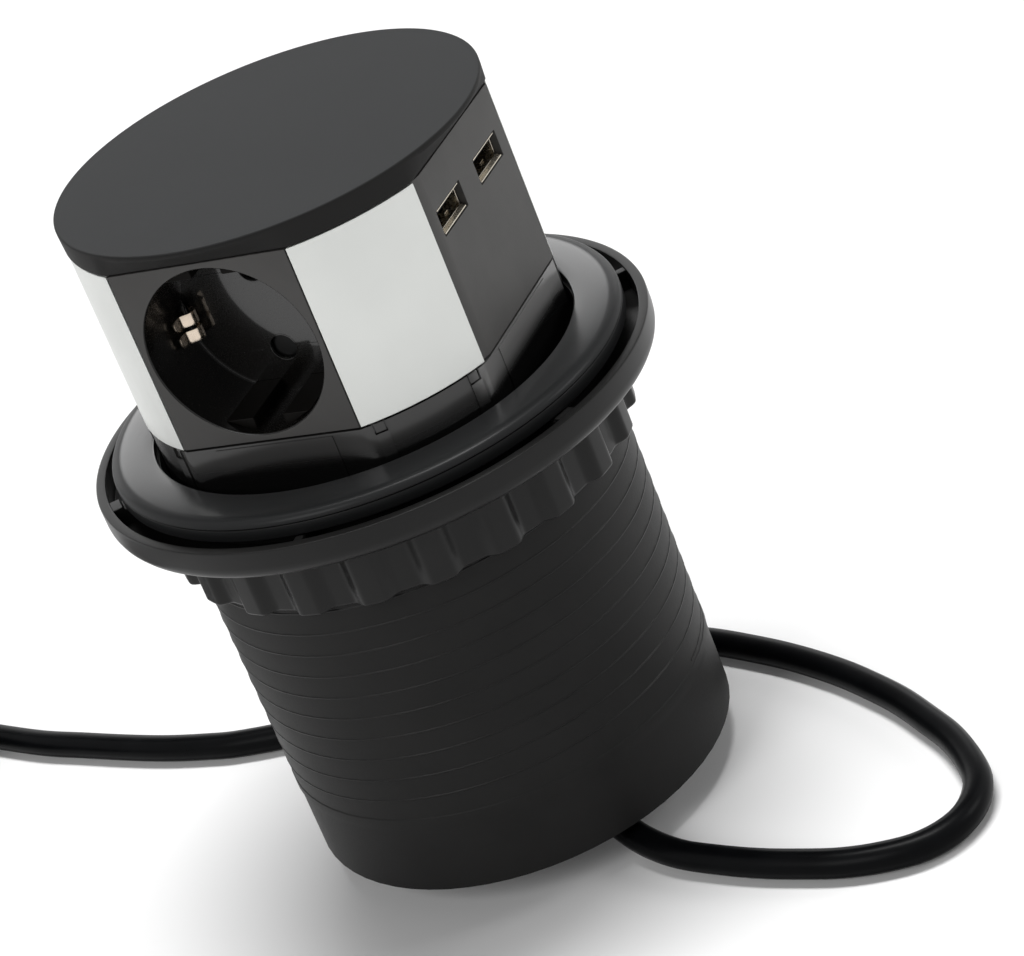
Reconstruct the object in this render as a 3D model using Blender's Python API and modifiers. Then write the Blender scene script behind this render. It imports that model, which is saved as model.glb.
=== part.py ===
"""Pull-up desk power tower, raised. Metres, +Z up the tower's axis, origin under the middle of its foot.
The visible socket faces -Y and the USB outlet faces +X."""
import math

import bmesh
import bpy
from mathutils import Matrix, Vector

for old in list(bpy.data.objects):
    bpy.data.objects.remove(old)

MM = 0.001
GAP = 0.3 * MM  # between pieces that touch

# Earthed socket
CUP_R = 19.5 * MM
CUP_DEPTH = 17.5 * MM
CUP_WALL = 1.0 * MM
CUP_FLOOR = 1.5 * MM
CUP_LEAD = 0.25 * MM  # wider mouth above the key shelves
KEY_IN = 2.9 * MM  # shelves stand this far into the round cup
KEY_SLOT = 7.0 * MM
KEY_LEAN = 0.15 * MM  # shelves lean in a little towards their slots
KEY_DROP = 2.2 * MM  # shelves start this far under the face
PIN_PITCH = 19.0 * MM
PIN_HOLE_R = 2.9 * MM
EARTH_T = 0.7 * MM
EARTH_W = 7.0 * MM
EARTH_BOW = 1.9 * MM
EARTH_TIP = 10.4 * MM  # depth in the cup where the strap's bow starts
EARTH_END = 17.0 * MM  # and where it is back at the wall
SLEEVE_R = 3.1 * MM
SLEEVE_BORE_R = 2.4 * MM
SLEEVE_L = 16.8 * MM

# Tower head: four flat faces with curved panels between them
CUP_SPACE = 2.3 * MM  # between the cups of neighbouring faces
FACE_BESIDE = 1.77 * MM  # face beside the cup, to the curved panel's corner
FACE_ABOVE = 1.5 * MM  # face above and below the cup
FACE_OUT = CUP_R + CUP_WALL + CUP_DEPTH + CUP_FLOOR + CUP_SPACE  # axis to each face
FACE_HALF = CUP_R + FACE_BESIDE
FACE_H = 2 * (CUP_R + FACE_ABOVE)
TOWER_R = math.hypot(FACE_OUT, FACE_HALF)
PLATE_T = 2.5 * MM
PLATE_HALF = FACE_HALF - GAP
PANEL_T = 1.2 * MM
LID_OVER = 0.4 * MM
LID_R = TOWER_R + LID_OVER
LID_T = 5.4 * MM
LID_EDGE = 0.4 * MM
LID_BAND = 0.7 * MM  # round band under the lid's edge
LID_STEPS = 8  # along each arc and each flat

# Neck
NECK_L = 43.8 * MM
NECK_WALL = 2.0 * MM
NECK_IN = 0.4 * MM  # how far the neck lies inside the panels
NECK_R = TOWER_R - NECK_IN
NECK_FACE = FACE_OUT - NECK_IN / 2
RIB_OUT = 0.3 * MM
RIB_FROM = 12.0  # degrees from the middle of each arc
RIB_TO = 15.4
NOTCH_H = 2.5 * MM
NOTCH_IN = 0.6 * MM
FLAT_PAD_W = 28.0 * MM  # raised panel on each flat of the neck
FLAT_PAD_OUT = 0.2 * MM
FLAT_PAD_DROP = 0.8 * MM
WIRE_HOLE_R = 9.0 * MM
BASE_T = 3.0 * MM
SPIGOT_H = 3.0 * MM
PAD_T = 0.6 * MM
PAD_H = 20.0 * MM
PAD_HALF_ANGLE = 8.0
PAD_UP = 2.0 * MM

# USB outlet
PORT_W = 13.0 * MM
PORT_H = 5.9 * MM
PORT_PITCH = 21.2 * MM
PORT_UP = 9.1 * MM  # above the middle of the face
PORT_L = 14.0 * MM
SHELL_T = 0.4 * MM
SHELL_BACK = 1.5 * MM  # shell's lip under the face
TONGUE_T = 1.7 * MM
TONGUE_BACK = 1.5 * MM  # tongue's end inside the shell's lip
TONGUE_SIDE = 1.0 * MM
TONGUE_BLOCK = 4.0 * MM
USB_BEVEL_W = 3.1 * MM  # along one long edge
USB_BEVEL_DROP = 0.8 * MM
BOARD_EDGE = 2.5 * MM

# Barrel
LID_CLEAR = 0.4 * MM
BARREL_WALL = 1.6 * MM
BORE_R = LID_R + LID_CLEAR
BARREL_R = BORE_R + BARREL_WALL
BARREL_L = 98.5 * MM  # lower rim to the flange's underside
FLANGE_OUT = 7.5 * MM
FLANGE_R = BARREL_R + FLANGE_OUT
FLANGE_T = 2.4 * MM
PLAIN_L = 17.0 * MM  # unthreaded length at the lower end
COLLAR_H = 2.6 * MM
COLLAR_OUT = 0.2 * MM
COLLAR_FALL = 1.2 * MM
GUIDE_W = 14.0 * MM
GUIDE_L = 22.0 * MM

# Trim ring
TRIM_WALL = 1.1 * MM
TRIM_R = FLANGE_R + GAP + TRIM_WALL
TRIM_T = 2.4 * MM
TRIM_FALL = 0.4 * MM  # outward fall of its top
TRIM_LEAD = 0.4 * MM  # chamfer round its hole
TRIM_CREASE = 0.2 * MM  # crease between top and wall, above the underside of the top
RISE = 8.4 * MM  # trim ring's top to the joint line under the faces

# Foot
FOOT_H = 9.0 * MM  # floor to the barrel's lower rim
FOOT_PLATE_UP = 1.5 * MM
FOOT_PLATE_T = 2.5 * MM
FOOT_INSET = 16.7 * MM  # standing ring inside the barrel's bore
FOOT_RING_R = BORE_R - FOOT_INSET
FOOT_RING_T = 4.0 * MM
FOOT_BOSS_R = 9.0 * MM
FOOT_BOSS_LOW = 0.8 * MM
FOOT_RIB_T = 1.6 * MM
FOOT_RIB_LOW = 3.0 * MM
FOOT_RIM_T = 1.8 * MM
FOOT_RIM_H = 3.0 * MM
GATE_SIDE = 1.6 * MM

# Clamp nut
NUT_BORE = BARREL_R + 0.35 * MM
HUB_T = 2.6 * MM
RIM_SPACE = 2.7 * MM  # round the trim ring
RIM_T = 2.3 * MM
NUT_R = TRIM_R + RIM_SPACE + RIM_T
RIM_H = 7.0 * MM
RIM_OVER = 0.6 * MM  # rim's top above the flange's underside
RIM_ROUND = 1.5 * MM
RIM_TAPER = 2.7 * MM  # height where the rim starts to draw in
WEB_T = 2.0 * MM
SKIRT_L = 17.0 * MM
SKIRT_T = 1.05 * MM
SKIRT_SINK = 0.5 * MM  # skirt's top inside the web
GRIP_OUT = 2.1 * MM
GRIPS = 22
GRIP_STEPS = 6
GRIP_SLOPE = 0.9  # over 0.5 gives each grip a flat top
GRIP_TURN = -9.3  # degrees, middle of one grip
GRIP_EDGE = 0.8 * MM
RIBS = 6
RIB_TURN = -82.0
RIB_LOW = 1.2 * MM  # ribs under the rim's top
THIN_RIB = 2.0 * MM
THICK_RIB = 4.6 * MM

# Cord and plug
CORD_R = 3.3 * MM
CORD_OFF_FLOOR = 0.2 * MM
CORD_STEP = 4.6 * CORD_R  # between points along it
TAIL_STEP = 4 * CORD_R
EXIT_TURN = -37.0  # degrees, the cord's way out of the foot
RELIEF_IN = 1.2 * MM  # its tip inside the standing ring's outer side
RELIEF_L = FOOT_RING_R - FOOT_BOSS_R - GAP - RELIEF_IN
RELIEF_ROOT_R = 4.4 * MM
RELIEF_TIP_R = 3.8 * MM
RELIEF_TAIL = 8.0 * MM
RELIEF_Z = 4.9 * MM
RELIEF_GROOVES = 4
RELIEF_LAND = 3.0 * MM
RELIEF_GROOVE_IN = 0.5 * MM
RELIEF_GROOVE_L = 1.1 * MM
COIL_AT = Vector((-209 * MM, -5 * MM, 0))
COIL_MID_R = 35.0 * MM
TIE_T = 1.0 * MM
TIE_W = 7.0 * MM
TIE_TURN = -60.0
PLUG_R = 18.4 * MM
PLUG_L = 35.0 * MM
PLUG_STRAIGHT = 19.0 * MM  # its round shoulder starts here
PLUG_EDGE = 1.0 * MM
PLUG_SLEEVE = 20.0 * MM
PLUG_SLEEVE_R = 8.0 * MM
PLUG_STEP = 2.0 * MM  # between shoulder and sleeve
PLUG_FACE_Y = -117 * MM
PLUG_OFF_FLOOR = 0.2 * MM
PLUG_EARTH_IN = 1.5 * MM
PLUG_EARTH_L = 16.0 * MM
PLUG_KEY_W = 5.2 * MM
PLUG_KEY_IN = 2.5 * MM
PLUG_PIN_R = 2.4 * MM
PLUG_PIN_L = 19.0 * MM
PLUG_PIN_TIP = 1.2 * MM

STEPS = 64

# Heights that follow
FLANGE_Z = FOOT_H + BARREL_L
BARREL_TOP = FLANGE_Z + FLANGE_T
TRIM_Z = BARREL_TOP + GAP
TRIM_TOP = TRIM_Z + TRIM_T
NECK_TOP = TRIM_TOP + RISE
FACE_Z = NECK_TOP + GAP
FACE_TOP = FACE_Z + FACE_H
LID_Z = FACE_TOP + GAP
FACE_MID = (FACE_Z + FACE_TOP) / 2
NECK_Z = NECK_TOP - NECK_L
BASE_TOP = NECK_Z - GAP
CUP_BACK = FACE_OUT - CUP_DEPTH - CUP_FLOOR  # axis to the back of each cup
CORE_HALF = CUP_BACK - GAP
COIL_Z = TIE_T + 2 * GAP

COLORS = {
    "grey": ((0.070, 0.068, 0.066), 0.45, 0.0),
    "lid": ((0.070, 0.072, 0.075), 0.6, 0.0),
    "silver": ((0.76, 0.78, 0.76), 0.3, 0.7),
    "gloss": ((0.045, 0.045, 0.047), 0.22, 0.0),
    "black": ((0.030, 0.029, 0.030), 0.5, 0.0),
    "metal": ((0.72, 0.70, 0.66), 0.25, 1.0),
    "brass": ((0.72, 0.52, 0.24), 0.3, 1.0),
    "felt": ((0.10, 0.10, 0.10), 0.95, 0.0),
    "board": ((0.03, 0.12, 0.06), 0.5, 0.0),
    "cord": ((0.025, 0.026, 0.030), 0.4, 0.0),
}

parts = bpy.data.collections.new("in_desk_power_module")
cutters = bpy.data.collections.new("cutters")
for group in (parts, cutters):
    bpy.context.scene.collection.children.link(group)
materials = {}


def material(name):
    """The Principled material of one colour."""
    if name not in materials:
        color, rough, metal = COLORS[name]
        made = bpy.data.materials.new(name)
        made.use_nodes = True
        shader = made.node_tree.nodes["Principled BSDF"]
        shader.inputs["Base Color"].default_value = (*color, 1)
        shader.inputs["Roughness"].default_value = rough
        shader.inputs["Metallic"].default_value = metal
        materials[name] = made
    return materials[name]


def add(name, mesh, look=None):
    """Links a mesh as a part, or as a hidden cutter when it has no look."""
    made = bpy.data.objects.new(name, mesh)
    if look:
        parts.objects.link(made)
        mesh.materials.append(material(look))
        mesh.shade_smooth()
        mesh.set_sharp_from_angle(angle=math.radians(30))
    else:
        cutters.objects.link(made)
        made.hide_render = True
        made.display_type = "WIRE"
    return made


def finish(name, work, look=None):
    mesh = bpy.data.meshes.new(name)
    bmesh.ops.recalc_face_normals(work, faces=work.faces)
    work.to_mesh(mesh)
    work.free()
    return add(name, mesh, look)


def box(name, low, high, look=None):
    """A box between two corners."""
    work = bmesh.new()
    size = [high[i] - low[i] for i in range(3)]
    middle = [(high[i] + low[i]) / 2 for i in range(3)]
    bmesh.ops.create_cube(work, size=1, matrix=Matrix.Translation(middle) @ Matrix.Diagonal((*size, 1)))
    return finish(name, work, look)


def rod(name, radius, start, end, look=None, steps=24, end_radius=None):
    """A cylinder or cone from start to end."""
    start, end = Vector(start), Vector(end)
    turn = (end - start).to_track_quat("Z", "Y").to_matrix().to_4x4()
    work = bmesh.new()
    bmesh.ops.create_cone(work, cap_ends=True, segments=steps, radius1=radius,
                          radius2=end_radius or radius, depth=(end - start).length,
                          matrix=Matrix.Translation((start + end) / 2) @ turn)
    return finish(name, work, look)


def prism(name, outline, low, high, look=None, holes=()):
    """An outline in X and Y, raised from low to high."""
    curve = bpy.data.curves.new(name, "CURVE")
    curve.dimensions = "2D"
    curve.fill_mode = "BOTH"
    curve.extrude = (high - low) / 2
    for ring in (outline, *holes):
        line = curve.splines.new("POLY")
        line.points.add(len(ring) - 1)
        line.use_cyclic_u = True
        for point, (x, y) in zip(line.points, ring):
            point.co = (x, y, 0, 1)
    return as_mesh(name, curve, look, Matrix.Translation((0, 0, (low + high) / 2)))


def as_mesh(name, curve, look=None, place=Matrix()):
    """Turns a curve into a welded mesh object."""
    guide = bpy.data.objects.new(name + "_guide", curve)
    bpy.context.scene.collection.objects.link(guide)
    mesh = bpy.data.meshes.new_from_object(guide.evaluated_get(bpy.context.evaluated_depsgraph_get()))
    bpy.data.objects.remove(guide)
    work = bmesh.new()
    work.from_mesh(mesh)
    bmesh.ops.remove_doubles(work, verts=work.verts, dist=0.005 * MM)
    bmesh.ops.transform(work, matrix=place, verts=work.verts)
    return finish(name, work, look)


def turned(name, profile, look=None, steps=STEPS, place=Matrix()):
    """A closed profile of radius and height, turned round Z."""
    mesh = bpy.data.meshes.new(name)
    count = len(profile)
    closed = profile[0][0] > 0
    edges = [(i, (i + 1) % count) for i in range(count if closed else count - 1)]
    mesh.from_pydata([(r, 0, z) for r, z in profile], edges, [])
    made = add(name, mesh, look)
    made.matrix_world = place
    screw = made.modifiers.new("turn", "SCREW")
    screw.steps = screw.render_steps = steps
    screw.use_merge_vertices = True
    screw.merge_threshold = 0.01 * MM
    screw.use_smooth_shade = True
    return made


def lofted(name, rings, look=None):
    """A skin over rings of as many points each, capped at both ends."""
    work = bmesh.new()
    rows = [[work.verts.new(point) for point in ring] for ring in rings]
    count = len(rows[0])
    for low, high in zip(rows, rows[1:]):
        for i in range(count):
            j = (i + 1) % count
            work.faces.new((low[i], low[j], high[j], high[i]))
    work.faces.new(rows[0])
    work.faces.new(rows[-1])
    return finish(name, work, look)


def combine(made, others, how):
    for number, other in enumerate(others):
        step = made.modifiers.new(f"{how.lower()}_{number}", "BOOLEAN")
        step.operation = how
        step.solver = "EXACT"
        step.object = other
    return made


def cut(made, *others):
    return combine(made, others, "DIFFERENCE")


def join(made, *others):
    return combine(made, others, "UNION")


def turn_z(made, degrees):
    made.matrix_world = Matrix.Rotation(math.radians(degrees), 4, "Z") @ made.matrix_world
    return made


def polar(radius, degrees):
    angle = math.radians(degrees)
    return radius * math.cos(angle), radius * math.sin(angle)


def arc(radius, start, end, count):
    """Points along an arc, both ends included."""
    return [polar(radius, start + (end - start) * i / count) for i in range(count + 1)]


def tower_outline(radius, face, count=6, ribs=0.0):
    """Four arcs joined by four flats. Ribs stand out near each arc's ends."""
    corner = math.degrees(math.acos(face / radius))
    points = []
    for middle in (45, 135, 225, 315):
        start, end = middle - 45 + corner, middle + 45 - corner
        if not ribs:
            points += arc(radius, start, end, count)
            continue
        rib = radius + ribs
        points += [polar(radius, start)]
        points += [polar(radius, middle - RIB_TO), polar(rib, middle - RIB_TO)]
        points += [polar(rib, middle - RIB_FROM), polar(radius, middle - RIB_FROM)]
        points += arc(radius, middle - RIB_FROM, middle + RIB_FROM, count)[1:-1]
        points += [polar(radius, middle + RIB_FROM), polar(rib, middle + RIB_FROM)]
        points += [polar(rib, middle + RIB_TO), polar(radius, middle + RIB_TO)]
        points += [polar(radius, end)]
    return points


def on_face(made, number):
    """Turns a piece built facing -Y to its own side: 0 is -Y, 1 is -X, 2 is +Y, 3 is +X."""
    return turn_z(made, -90 * number)


# Tower

def make_lid():
    """Full circle on top, the tower's outline with its flats below."""
    low = tower_outline(LID_R - LID_EDGE / 2, FACE_OUT, LID_STEPS)
    points = []
    for i, (x, y) in enumerate(low):
        points.append((x, y))
        if i % (LID_STEPS + 1) == LID_STEPS:
            after_x, after_y = low[(i + 1) % len(low)]
            shares = [k / LID_STEPS for k in range(1, LID_STEPS)]
            points += [(x + (after_x - x) * t, y + (after_y - y) * t) for t in shares]
    angles = [math.atan2(y, x) for x, y in points]

    def circle(radius, height):
        return [(radius * math.cos(a), radius * math.sin(a), height) for a in angles]

    top = LID_Z + LID_T
    rings = [[(x, y, LID_Z) for x, y in points], circle(LID_R, top - LID_EDGE - LID_BAND),
             circle(LID_R, top - LID_EDGE), circle(LID_R - LID_EDGE, top)]
    return lofted("lid", rings, "lid")


def make_core():
    """Chassis: a square core with four corner columns that carry the panels."""
    seat = FACE_OUT - PLATE_T - GAP
    radius = TOWER_R - PANEL_T - GAP
    half = CUP_R + CUP_WALL + GAP
    start = math.degrees(math.asin(math.sqrt(radius ** 2 - seat ** 2) / radius))
    outline = []
    for side in range(4):
        turn = Matrix.Rotation(math.radians(90 * side), 2)
        column = [(CORE_HALF, half), (seat, half)] + arc(radius, start, 90 - start, 5)
        column += [(half, seat), (half, CORE_HALF)]
        outline += [tuple(turn @ Vector(p)) for p in column]
    core = prism("core", outline, FACE_Z, FACE_TOP, "black")
    hole_r = SLEEVE_R + GAP
    reach = CORE_HALF - SLEEVE_L - GAP
    for side in range(3):
        for up in (-1, 1):
            z = FACE_MID + up * PIN_PITCH / 2
            hole = rod("sleeve_hole", hole_r, (0, -CORE_HALF - MM, z), (0, -reach, z), steps=12)
            cut(core, on_face(hole, side))
        strap = earth_back() - EARTH_T / 2 - GAP
        width = earth_out() + EARTH_T
        groove = box("strap_groove", (-width, -CORE_HALF - MM, FACE_MID - EARTH_W / 2 - GAP),
                     (width, -strap, FACE_MID + EARTH_W / 2 + GAP))
        cut(core, on_face(groove, side))
    return core


def earth_out():
    """Half the distance between the earth strap's two legs."""
    return math.sqrt(CUP_R ** 2 - (EARTH_W / 2) ** 2) - EARTH_T / 2 - 2 * GAP


def earth_back():
    """Distance from the axis to the strap's middle behind the cup's floor."""
    return CORE_HALF - EARTH_T / 2


def cup_outline():
    """Round cup with flat key shelves at two sides, each with a slot in its middle."""
    out = CUP_R - KEY_IN
    shelf = math.sqrt(CUP_R ** 2 - out ** 2)
    slot = KEY_SLOT / 2
    top = math.degrees(math.asin(out / CUP_R))
    slot_top = math.degrees(math.acos(slot / CUP_R))
    lean = out - KEY_LEAN
    half = [(slot, lean)] + arc(CUP_R, slot_top, 180 - slot_top, 2) + [(-slot, lean)]
    side = arc(CUP_R, 180 - top, 180 + top, 10)
    points = [(shelf, out)] + half + side
    return points + [(-x, -y) for x, y in half] + [(-x, -y) for x, y in side[:-1]]


def make_socket(side):
    """Face plate and cup in one moulding, built facing -Y."""
    z = FACE_MID
    face = -FACE_OUT
    floor = face + CUP_DEPTH
    back = floor + CUP_FLOOR
    half = PLATE_HALF
    body = box(f"socket_{side + 1}", (-half, face, FACE_Z), (half, face + PLATE_T, FACE_TOP), "grey")
    join(body, on_face(rod("cup_wall", CUP_R + CUP_WALL, (0, face + MM, z), (0, back, z), steps=36), side))
    well = prism("cup_well", cup_outline(), -(floor), -(face + KEY_DROP))
    well.matrix_world = Matrix.Translation((0, 0, z)) @ Matrix.Rotation(math.pi / 2, 4, "X")
    mouth_floor = face + KEY_DROP + 0.01 * MM
    mouth = rod("cup_mouth", CUP_R + CUP_LEAD, (0, face - MM, z), (0, mouth_floor, z), steps=36)
    cut(body, on_face(mouth, side), on_face(well, side))
    for up in (-1, 1):
        pin = z + up * PIN_PITCH / 2
        hole = rod("pin_hole", PIN_HOLE_R, (0, floor - MM, pin), (0, back + MM, pin), steps=12)
        cut(body, on_face(hole, side))
        leg = up * earth_out()
        wide = EARTH_T / 2 + GAP
        tall = EARTH_W / 2 + GAP
        slot = box("earth_slot", (leg - wide, floor - MM, z - tall), (leg + wide, back + MM, z + tall))
        cut(body, on_face(slot, side))
    return on_face(body, side)


def make_earth_spring(side):
    """One bent strap: two bowed fingers in the cup, joined behind its floor."""
    out = earth_out()
    face = -FACE_OUT
    start = face + EARTH_TIP
    end = face + EARTH_END
    bow = (end - start) * 0.6
    leg = [(out, start), (out, start + EARTH_T), (out - EARTH_BOW, start + bow),
           (out - EARTH_BOW, start + bow + EARTH_T), (out, end), (out, -earth_back())]
    path = leg + [(-x, y) for x, y in reversed(leg)]
    work = bmesh.new()
    low = FACE_MID - EARTH_W / 2
    chain = [work.verts.new((x, y, low)) for x, y in path]
    edges = [work.edges.new(pair) for pair in zip(chain, chain[1:])]
    made = bmesh.ops.extrude_edge_only(work, edges=edges)
    risen = [item for item in made["geom"] if isinstance(item, bmesh.types.BMVert)]
    bmesh.ops.translate(work, verts=risen, vec=(0, 0, EARTH_W))
    spring = finish(f"earth_spring_{side + 1}", work, "metal")
    wall = spring.modifiers.new("thickness", "SOLIDIFY")
    wall.thickness = EARTH_T
    wall.offset = 0
    wall.use_even_offset = True
    return on_face(spring, side)


def make_contact(number):
    """Sleeve that grips one pin behind the cup's floor."""
    side, up = divmod(number, 2)
    z = FACE_MID + (2 * up - 1) * PIN_PITCH / 2
    profile = [(SLEEVE_BORE_R, 0), (SLEEVE_BORE_R, SLEEVE_L), (SLEEVE_R, SLEEVE_L), (SLEEVE_R, 0)]
    lie = Matrix.Translation((0, -CORE_HALF, z)) @ Matrix.Rotation(-math.pi / 2, 4, "X")
    return on_face(turned(f"contact_{number + 1}", profile, "brass", 12, lie), side)


def make_usb():
    """Plate with one bevelled long edge, two ports and the charger block behind them, on the +X side."""
    side = 3
    half = PLATE_HALF
    face = -FACE_OUT
    outline = [(half, face + PLATE_T), (-half, face + PLATE_T), (-half, face + USB_BEVEL_DROP),
               (-half + USB_BEVEL_W, face), (half, face)]
    plate = prism("usb_plate", outline, FACE_Z, FACE_TOP, "grey")
    z = FACE_MID + PORT_UP
    start = face + SHELL_BACK
    end = face + PORT_L
    for number, across in enumerate((-PORT_PITCH / 2, PORT_PITCH / 2), 1):

        def port_box(name, inset, near, far, look=None):
            wide = PORT_W / 2 - inset
            tall = PORT_H / 2 - inset
            return box(name, (across - wide, near, z - tall), (across + wide, far, z + tall), look)

        cut(plate, port_box("port_hole", 0, face - MM, face + PLATE_T + MM))
        shell = port_box(f"usb_shell_{number}", GAP, start, end, "metal")
        cut(shell, port_box("shell_bore", GAP + SHELL_T, start - MM, end + MM))
        inset = 2 * GAP + SHELL_T
        block = port_box(f"usb_tongue_{number}", inset, end - TONGUE_BLOCK, end, "black")
        wide = PORT_W / 2 - inset - TONGUE_SIDE
        high = z + PORT_H / 2 - inset - GAP
        join(block, box("tongue_blade", (across - wide, start + TONGUE_BACK, high - TONGUE_T),
                        (across + wide, end - TONGUE_BLOCK / 2, high)))
        for made in (shell, block):
            on_face(made, side)
            on_face(made.modifiers[0].object, side)
    for step in plate.modifiers:
        on_face(step.object, side)
    on_face(plate, side)
    half = FACE_H / 2 - BOARD_EDGE
    board = box("usb_board", (-half, face + PORT_L + GAP, FACE_MID - half),
                (half, -CORE_HALF - GAP, FACE_MID + half), "board")
    return on_face(board, side)


def make_side_panel(number):
    """Curved panel between two flats, with straight ends beside the face plates."""
    end = FACE_HALF
    inner = TOWER_R - PANEL_T
    first = math.degrees(math.asin(end / TOWER_R))
    second = math.degrees(math.asin(end / inner))
    outline = arc(TOWER_R, first, 90 - first, 8) + arc(inner, 90 - second, second, 8)
    return turn_z(prism(f"side_panel_{number}", outline, FACE_Z, FACE_TOP, "silver"), 90 * number)


def make_neck():
    """Sleeve under the faces: a raised panel on each flat, guide ribs and a notch over each rib."""
    neck = prism("neck", tower_outline(NECK_R, NECK_FACE, 5, RIB_OUT), NECK_Z, NECK_TOP, "gloss")
    for side in range(4):
        pad = box("flat_pad", (NECK_FACE - MM, -FLAT_PAD_W / 2, NECK_Z),
                  (NECK_FACE + FLAT_PAD_OUT, FLAT_PAD_W / 2, NECK_TOP - FLAT_PAD_DROP))
        join(neck, turn_z(pad, 90 * side))
    inside = tower_outline(NECK_R - NECK_WALL, NECK_FACE - NECK_WALL, 6)
    cut(neck, prism("neck_well", inside, NECK_Z - MM, NECK_TOP - NECK_WALL))
    cut(neck, rod("wire_hole", WIRE_HOLE_R, (0, 0, NECK_TOP - NECK_WALL - MM), (0, 0, NECK_TOP + MM)))
    width = NECK_R * math.radians(RIB_TO - RIB_FROM) / 2
    middle = (RIB_FROM + RIB_TO) / 2
    for corner in (45, 135, 225, 315):
        for turn in (corner - middle, corner + middle):
            low = (NECK_R - NOTCH_IN, -width, NECK_TOP - NOTCH_H)
            high = (NECK_R + 2 * MM, width, NECK_TOP + MM)
            cut(neck, turn_z(box("rib_notch", low, high), turn))
    return neck


def make_tower_base():
    """Round plate under the neck that meets the barrel's stops, with a spigot inside the neck."""
    low = BASE_TOP - BASE_T
    plate = rod("tower_base", LID_R, (0, 0, low), (0, 0, BASE_TOP), "black", STEPS)
    room = NECK_WALL + GAP
    spigot = tower_outline(NECK_R - room, NECK_FACE - room, 5)
    join(plate, prism("base_spigot", spigot, BASE_TOP - MM, NECK_Z + SPIGOT_H))
    return cut(plate, rod("base_hole", WIRE_HOLE_R, (0, 0, low - MM), (0, 0, NECK_Z + SPIGOT_H + MM)))


def make_brake_pad(number):
    """Felt strip on one arc of the neck, rubbing on the barrel."""
    inner = NECK_R + GAP
    outer = inner + PAD_T
    middle = 45 + 90 * number
    outline = arc(outer, middle - PAD_HALF_ANGLE, middle + PAD_HALF_ANGLE, 4)
    outline += arc(inner, middle + PAD_HALF_ANGLE, middle - PAD_HALF_ANGLE, 4)
    low = NECK_Z + PAD_UP
    return prism(f"brake_pad_{number}", outline, low, low + PAD_H, "felt")


# Barrel, trim ring and foot

def make_barrel():
    """Tube with a flange on top, guide blocks inside that stop and steer the tower."""
    low = FOOT_H
    thread_end = low + PLAIN_L
    collar = BARREL_R + COLLAR_OUT
    plain = BARREL_R - COLLAR_OUT / 2
    profile = [(BORE_R, BARREL_TOP), (FLANGE_R, BARREL_TOP), (FLANGE_R, FLANGE_Z), (BARREL_R, FLANGE_Z),
               (BARREL_R, thread_end + COLLAR_H), (collar, thread_end + COLLAR_H - COLLAR_OUT),
               (collar, thread_end), (plain, thread_end - COLLAR_FALL), (plain, low), (BORE_R, low)]
    barrel = turned("barrel", profile, "black")
    top = BASE_TOP + GAP + GUIDE_L
    for side in range(4):
        block = box("guide_block", (NECK_FACE + 2 * GAP, -GUIDE_W / 2, BASE_TOP + GAP),
                    (BARREL_R - BARREL_WALL / 2, GUIDE_W / 2, top))
        join(barrel, turn_z(block, 90 * side))
    return barrel


def make_trim_ring():
    """Ring that caps the flange: nearly flat top, crease and straight outer wall."""
    hole = LID_R + 2 * GAP
    wall = FLANGE_R + GAP
    edge = TRIM_R - TRIM_WALL
    profile = [(hole, TRIM_TOP - TRIM_LEAD), (hole + TRIM_LEAD, TRIM_TOP), (edge, TRIM_TOP - TRIM_FALL),
               (TRIM_R, TRIM_Z + TRIM_CREASE), (TRIM_R, FLANGE_Z), (wall, FLANGE_Z), (wall, TRIM_Z),
               (hole, TRIM_Z)]
    return turned("trim_ring", profile, "gloss")


def make_foot():
    """Cap in the barrel's lower end: standing ring, ribs and a boss that the cord comes out of."""
    under = FOOT_H + FOOT_PLATE_UP
    top = under + FOOT_PLATE_T
    rim = BORE_R - GAP
    inner = FOOT_RING_R - FOOT_RING_T
    boss = FOOT_BOSS_R
    low = FOOT_BOSS_LOW
    profile = [(0, top), (rim - FOOT_RIM_T, top), (rim - FOOT_RIM_T, top + FOOT_RIM_H),
               (rim, top + FOOT_RIM_H), (rim, under), (FOOT_RING_R, under), (FOOT_RING_R, 0), (inner, 0),
               (inner, under), (boss, under), (boss, low), (0, low)]
    foot = turned("foot", profile, "black", 36)
    for turn in range(30, 360, 60):
        rib = box("foot_rib", (boss - MM, -FOOT_RIB_T / 2, FOOT_RIB_LOW),
                  (inner + MM, FOOT_RIB_T / 2, under + MM))
        join(foot, turn_z(rib, EXIT_TURN + turn))
    x, y = polar(1, EXIT_TURN)
    way = RELIEF_ROOT_R + GATE_SIDE
    gate = box("cord_gate", (inner - 2 * MM, -way, -MM), (FOOT_RING_R + 2 * MM, way, under + 0.01 * MM))
    cut(foot, turn_z(gate, EXIT_TURN))
    bore = CORD_R + GAP
    cut(foot, rod("lead_down", bore, (0, 0, RELIEF_Z - bore), (0, 0, top + MM), steps=16))
    end = boss + MM
    cut(foot, rod("lead_out", bore, (0, 0, RELIEF_Z), (x * end, y * end, RELIEF_Z), steps=16))
    return foot


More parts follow.
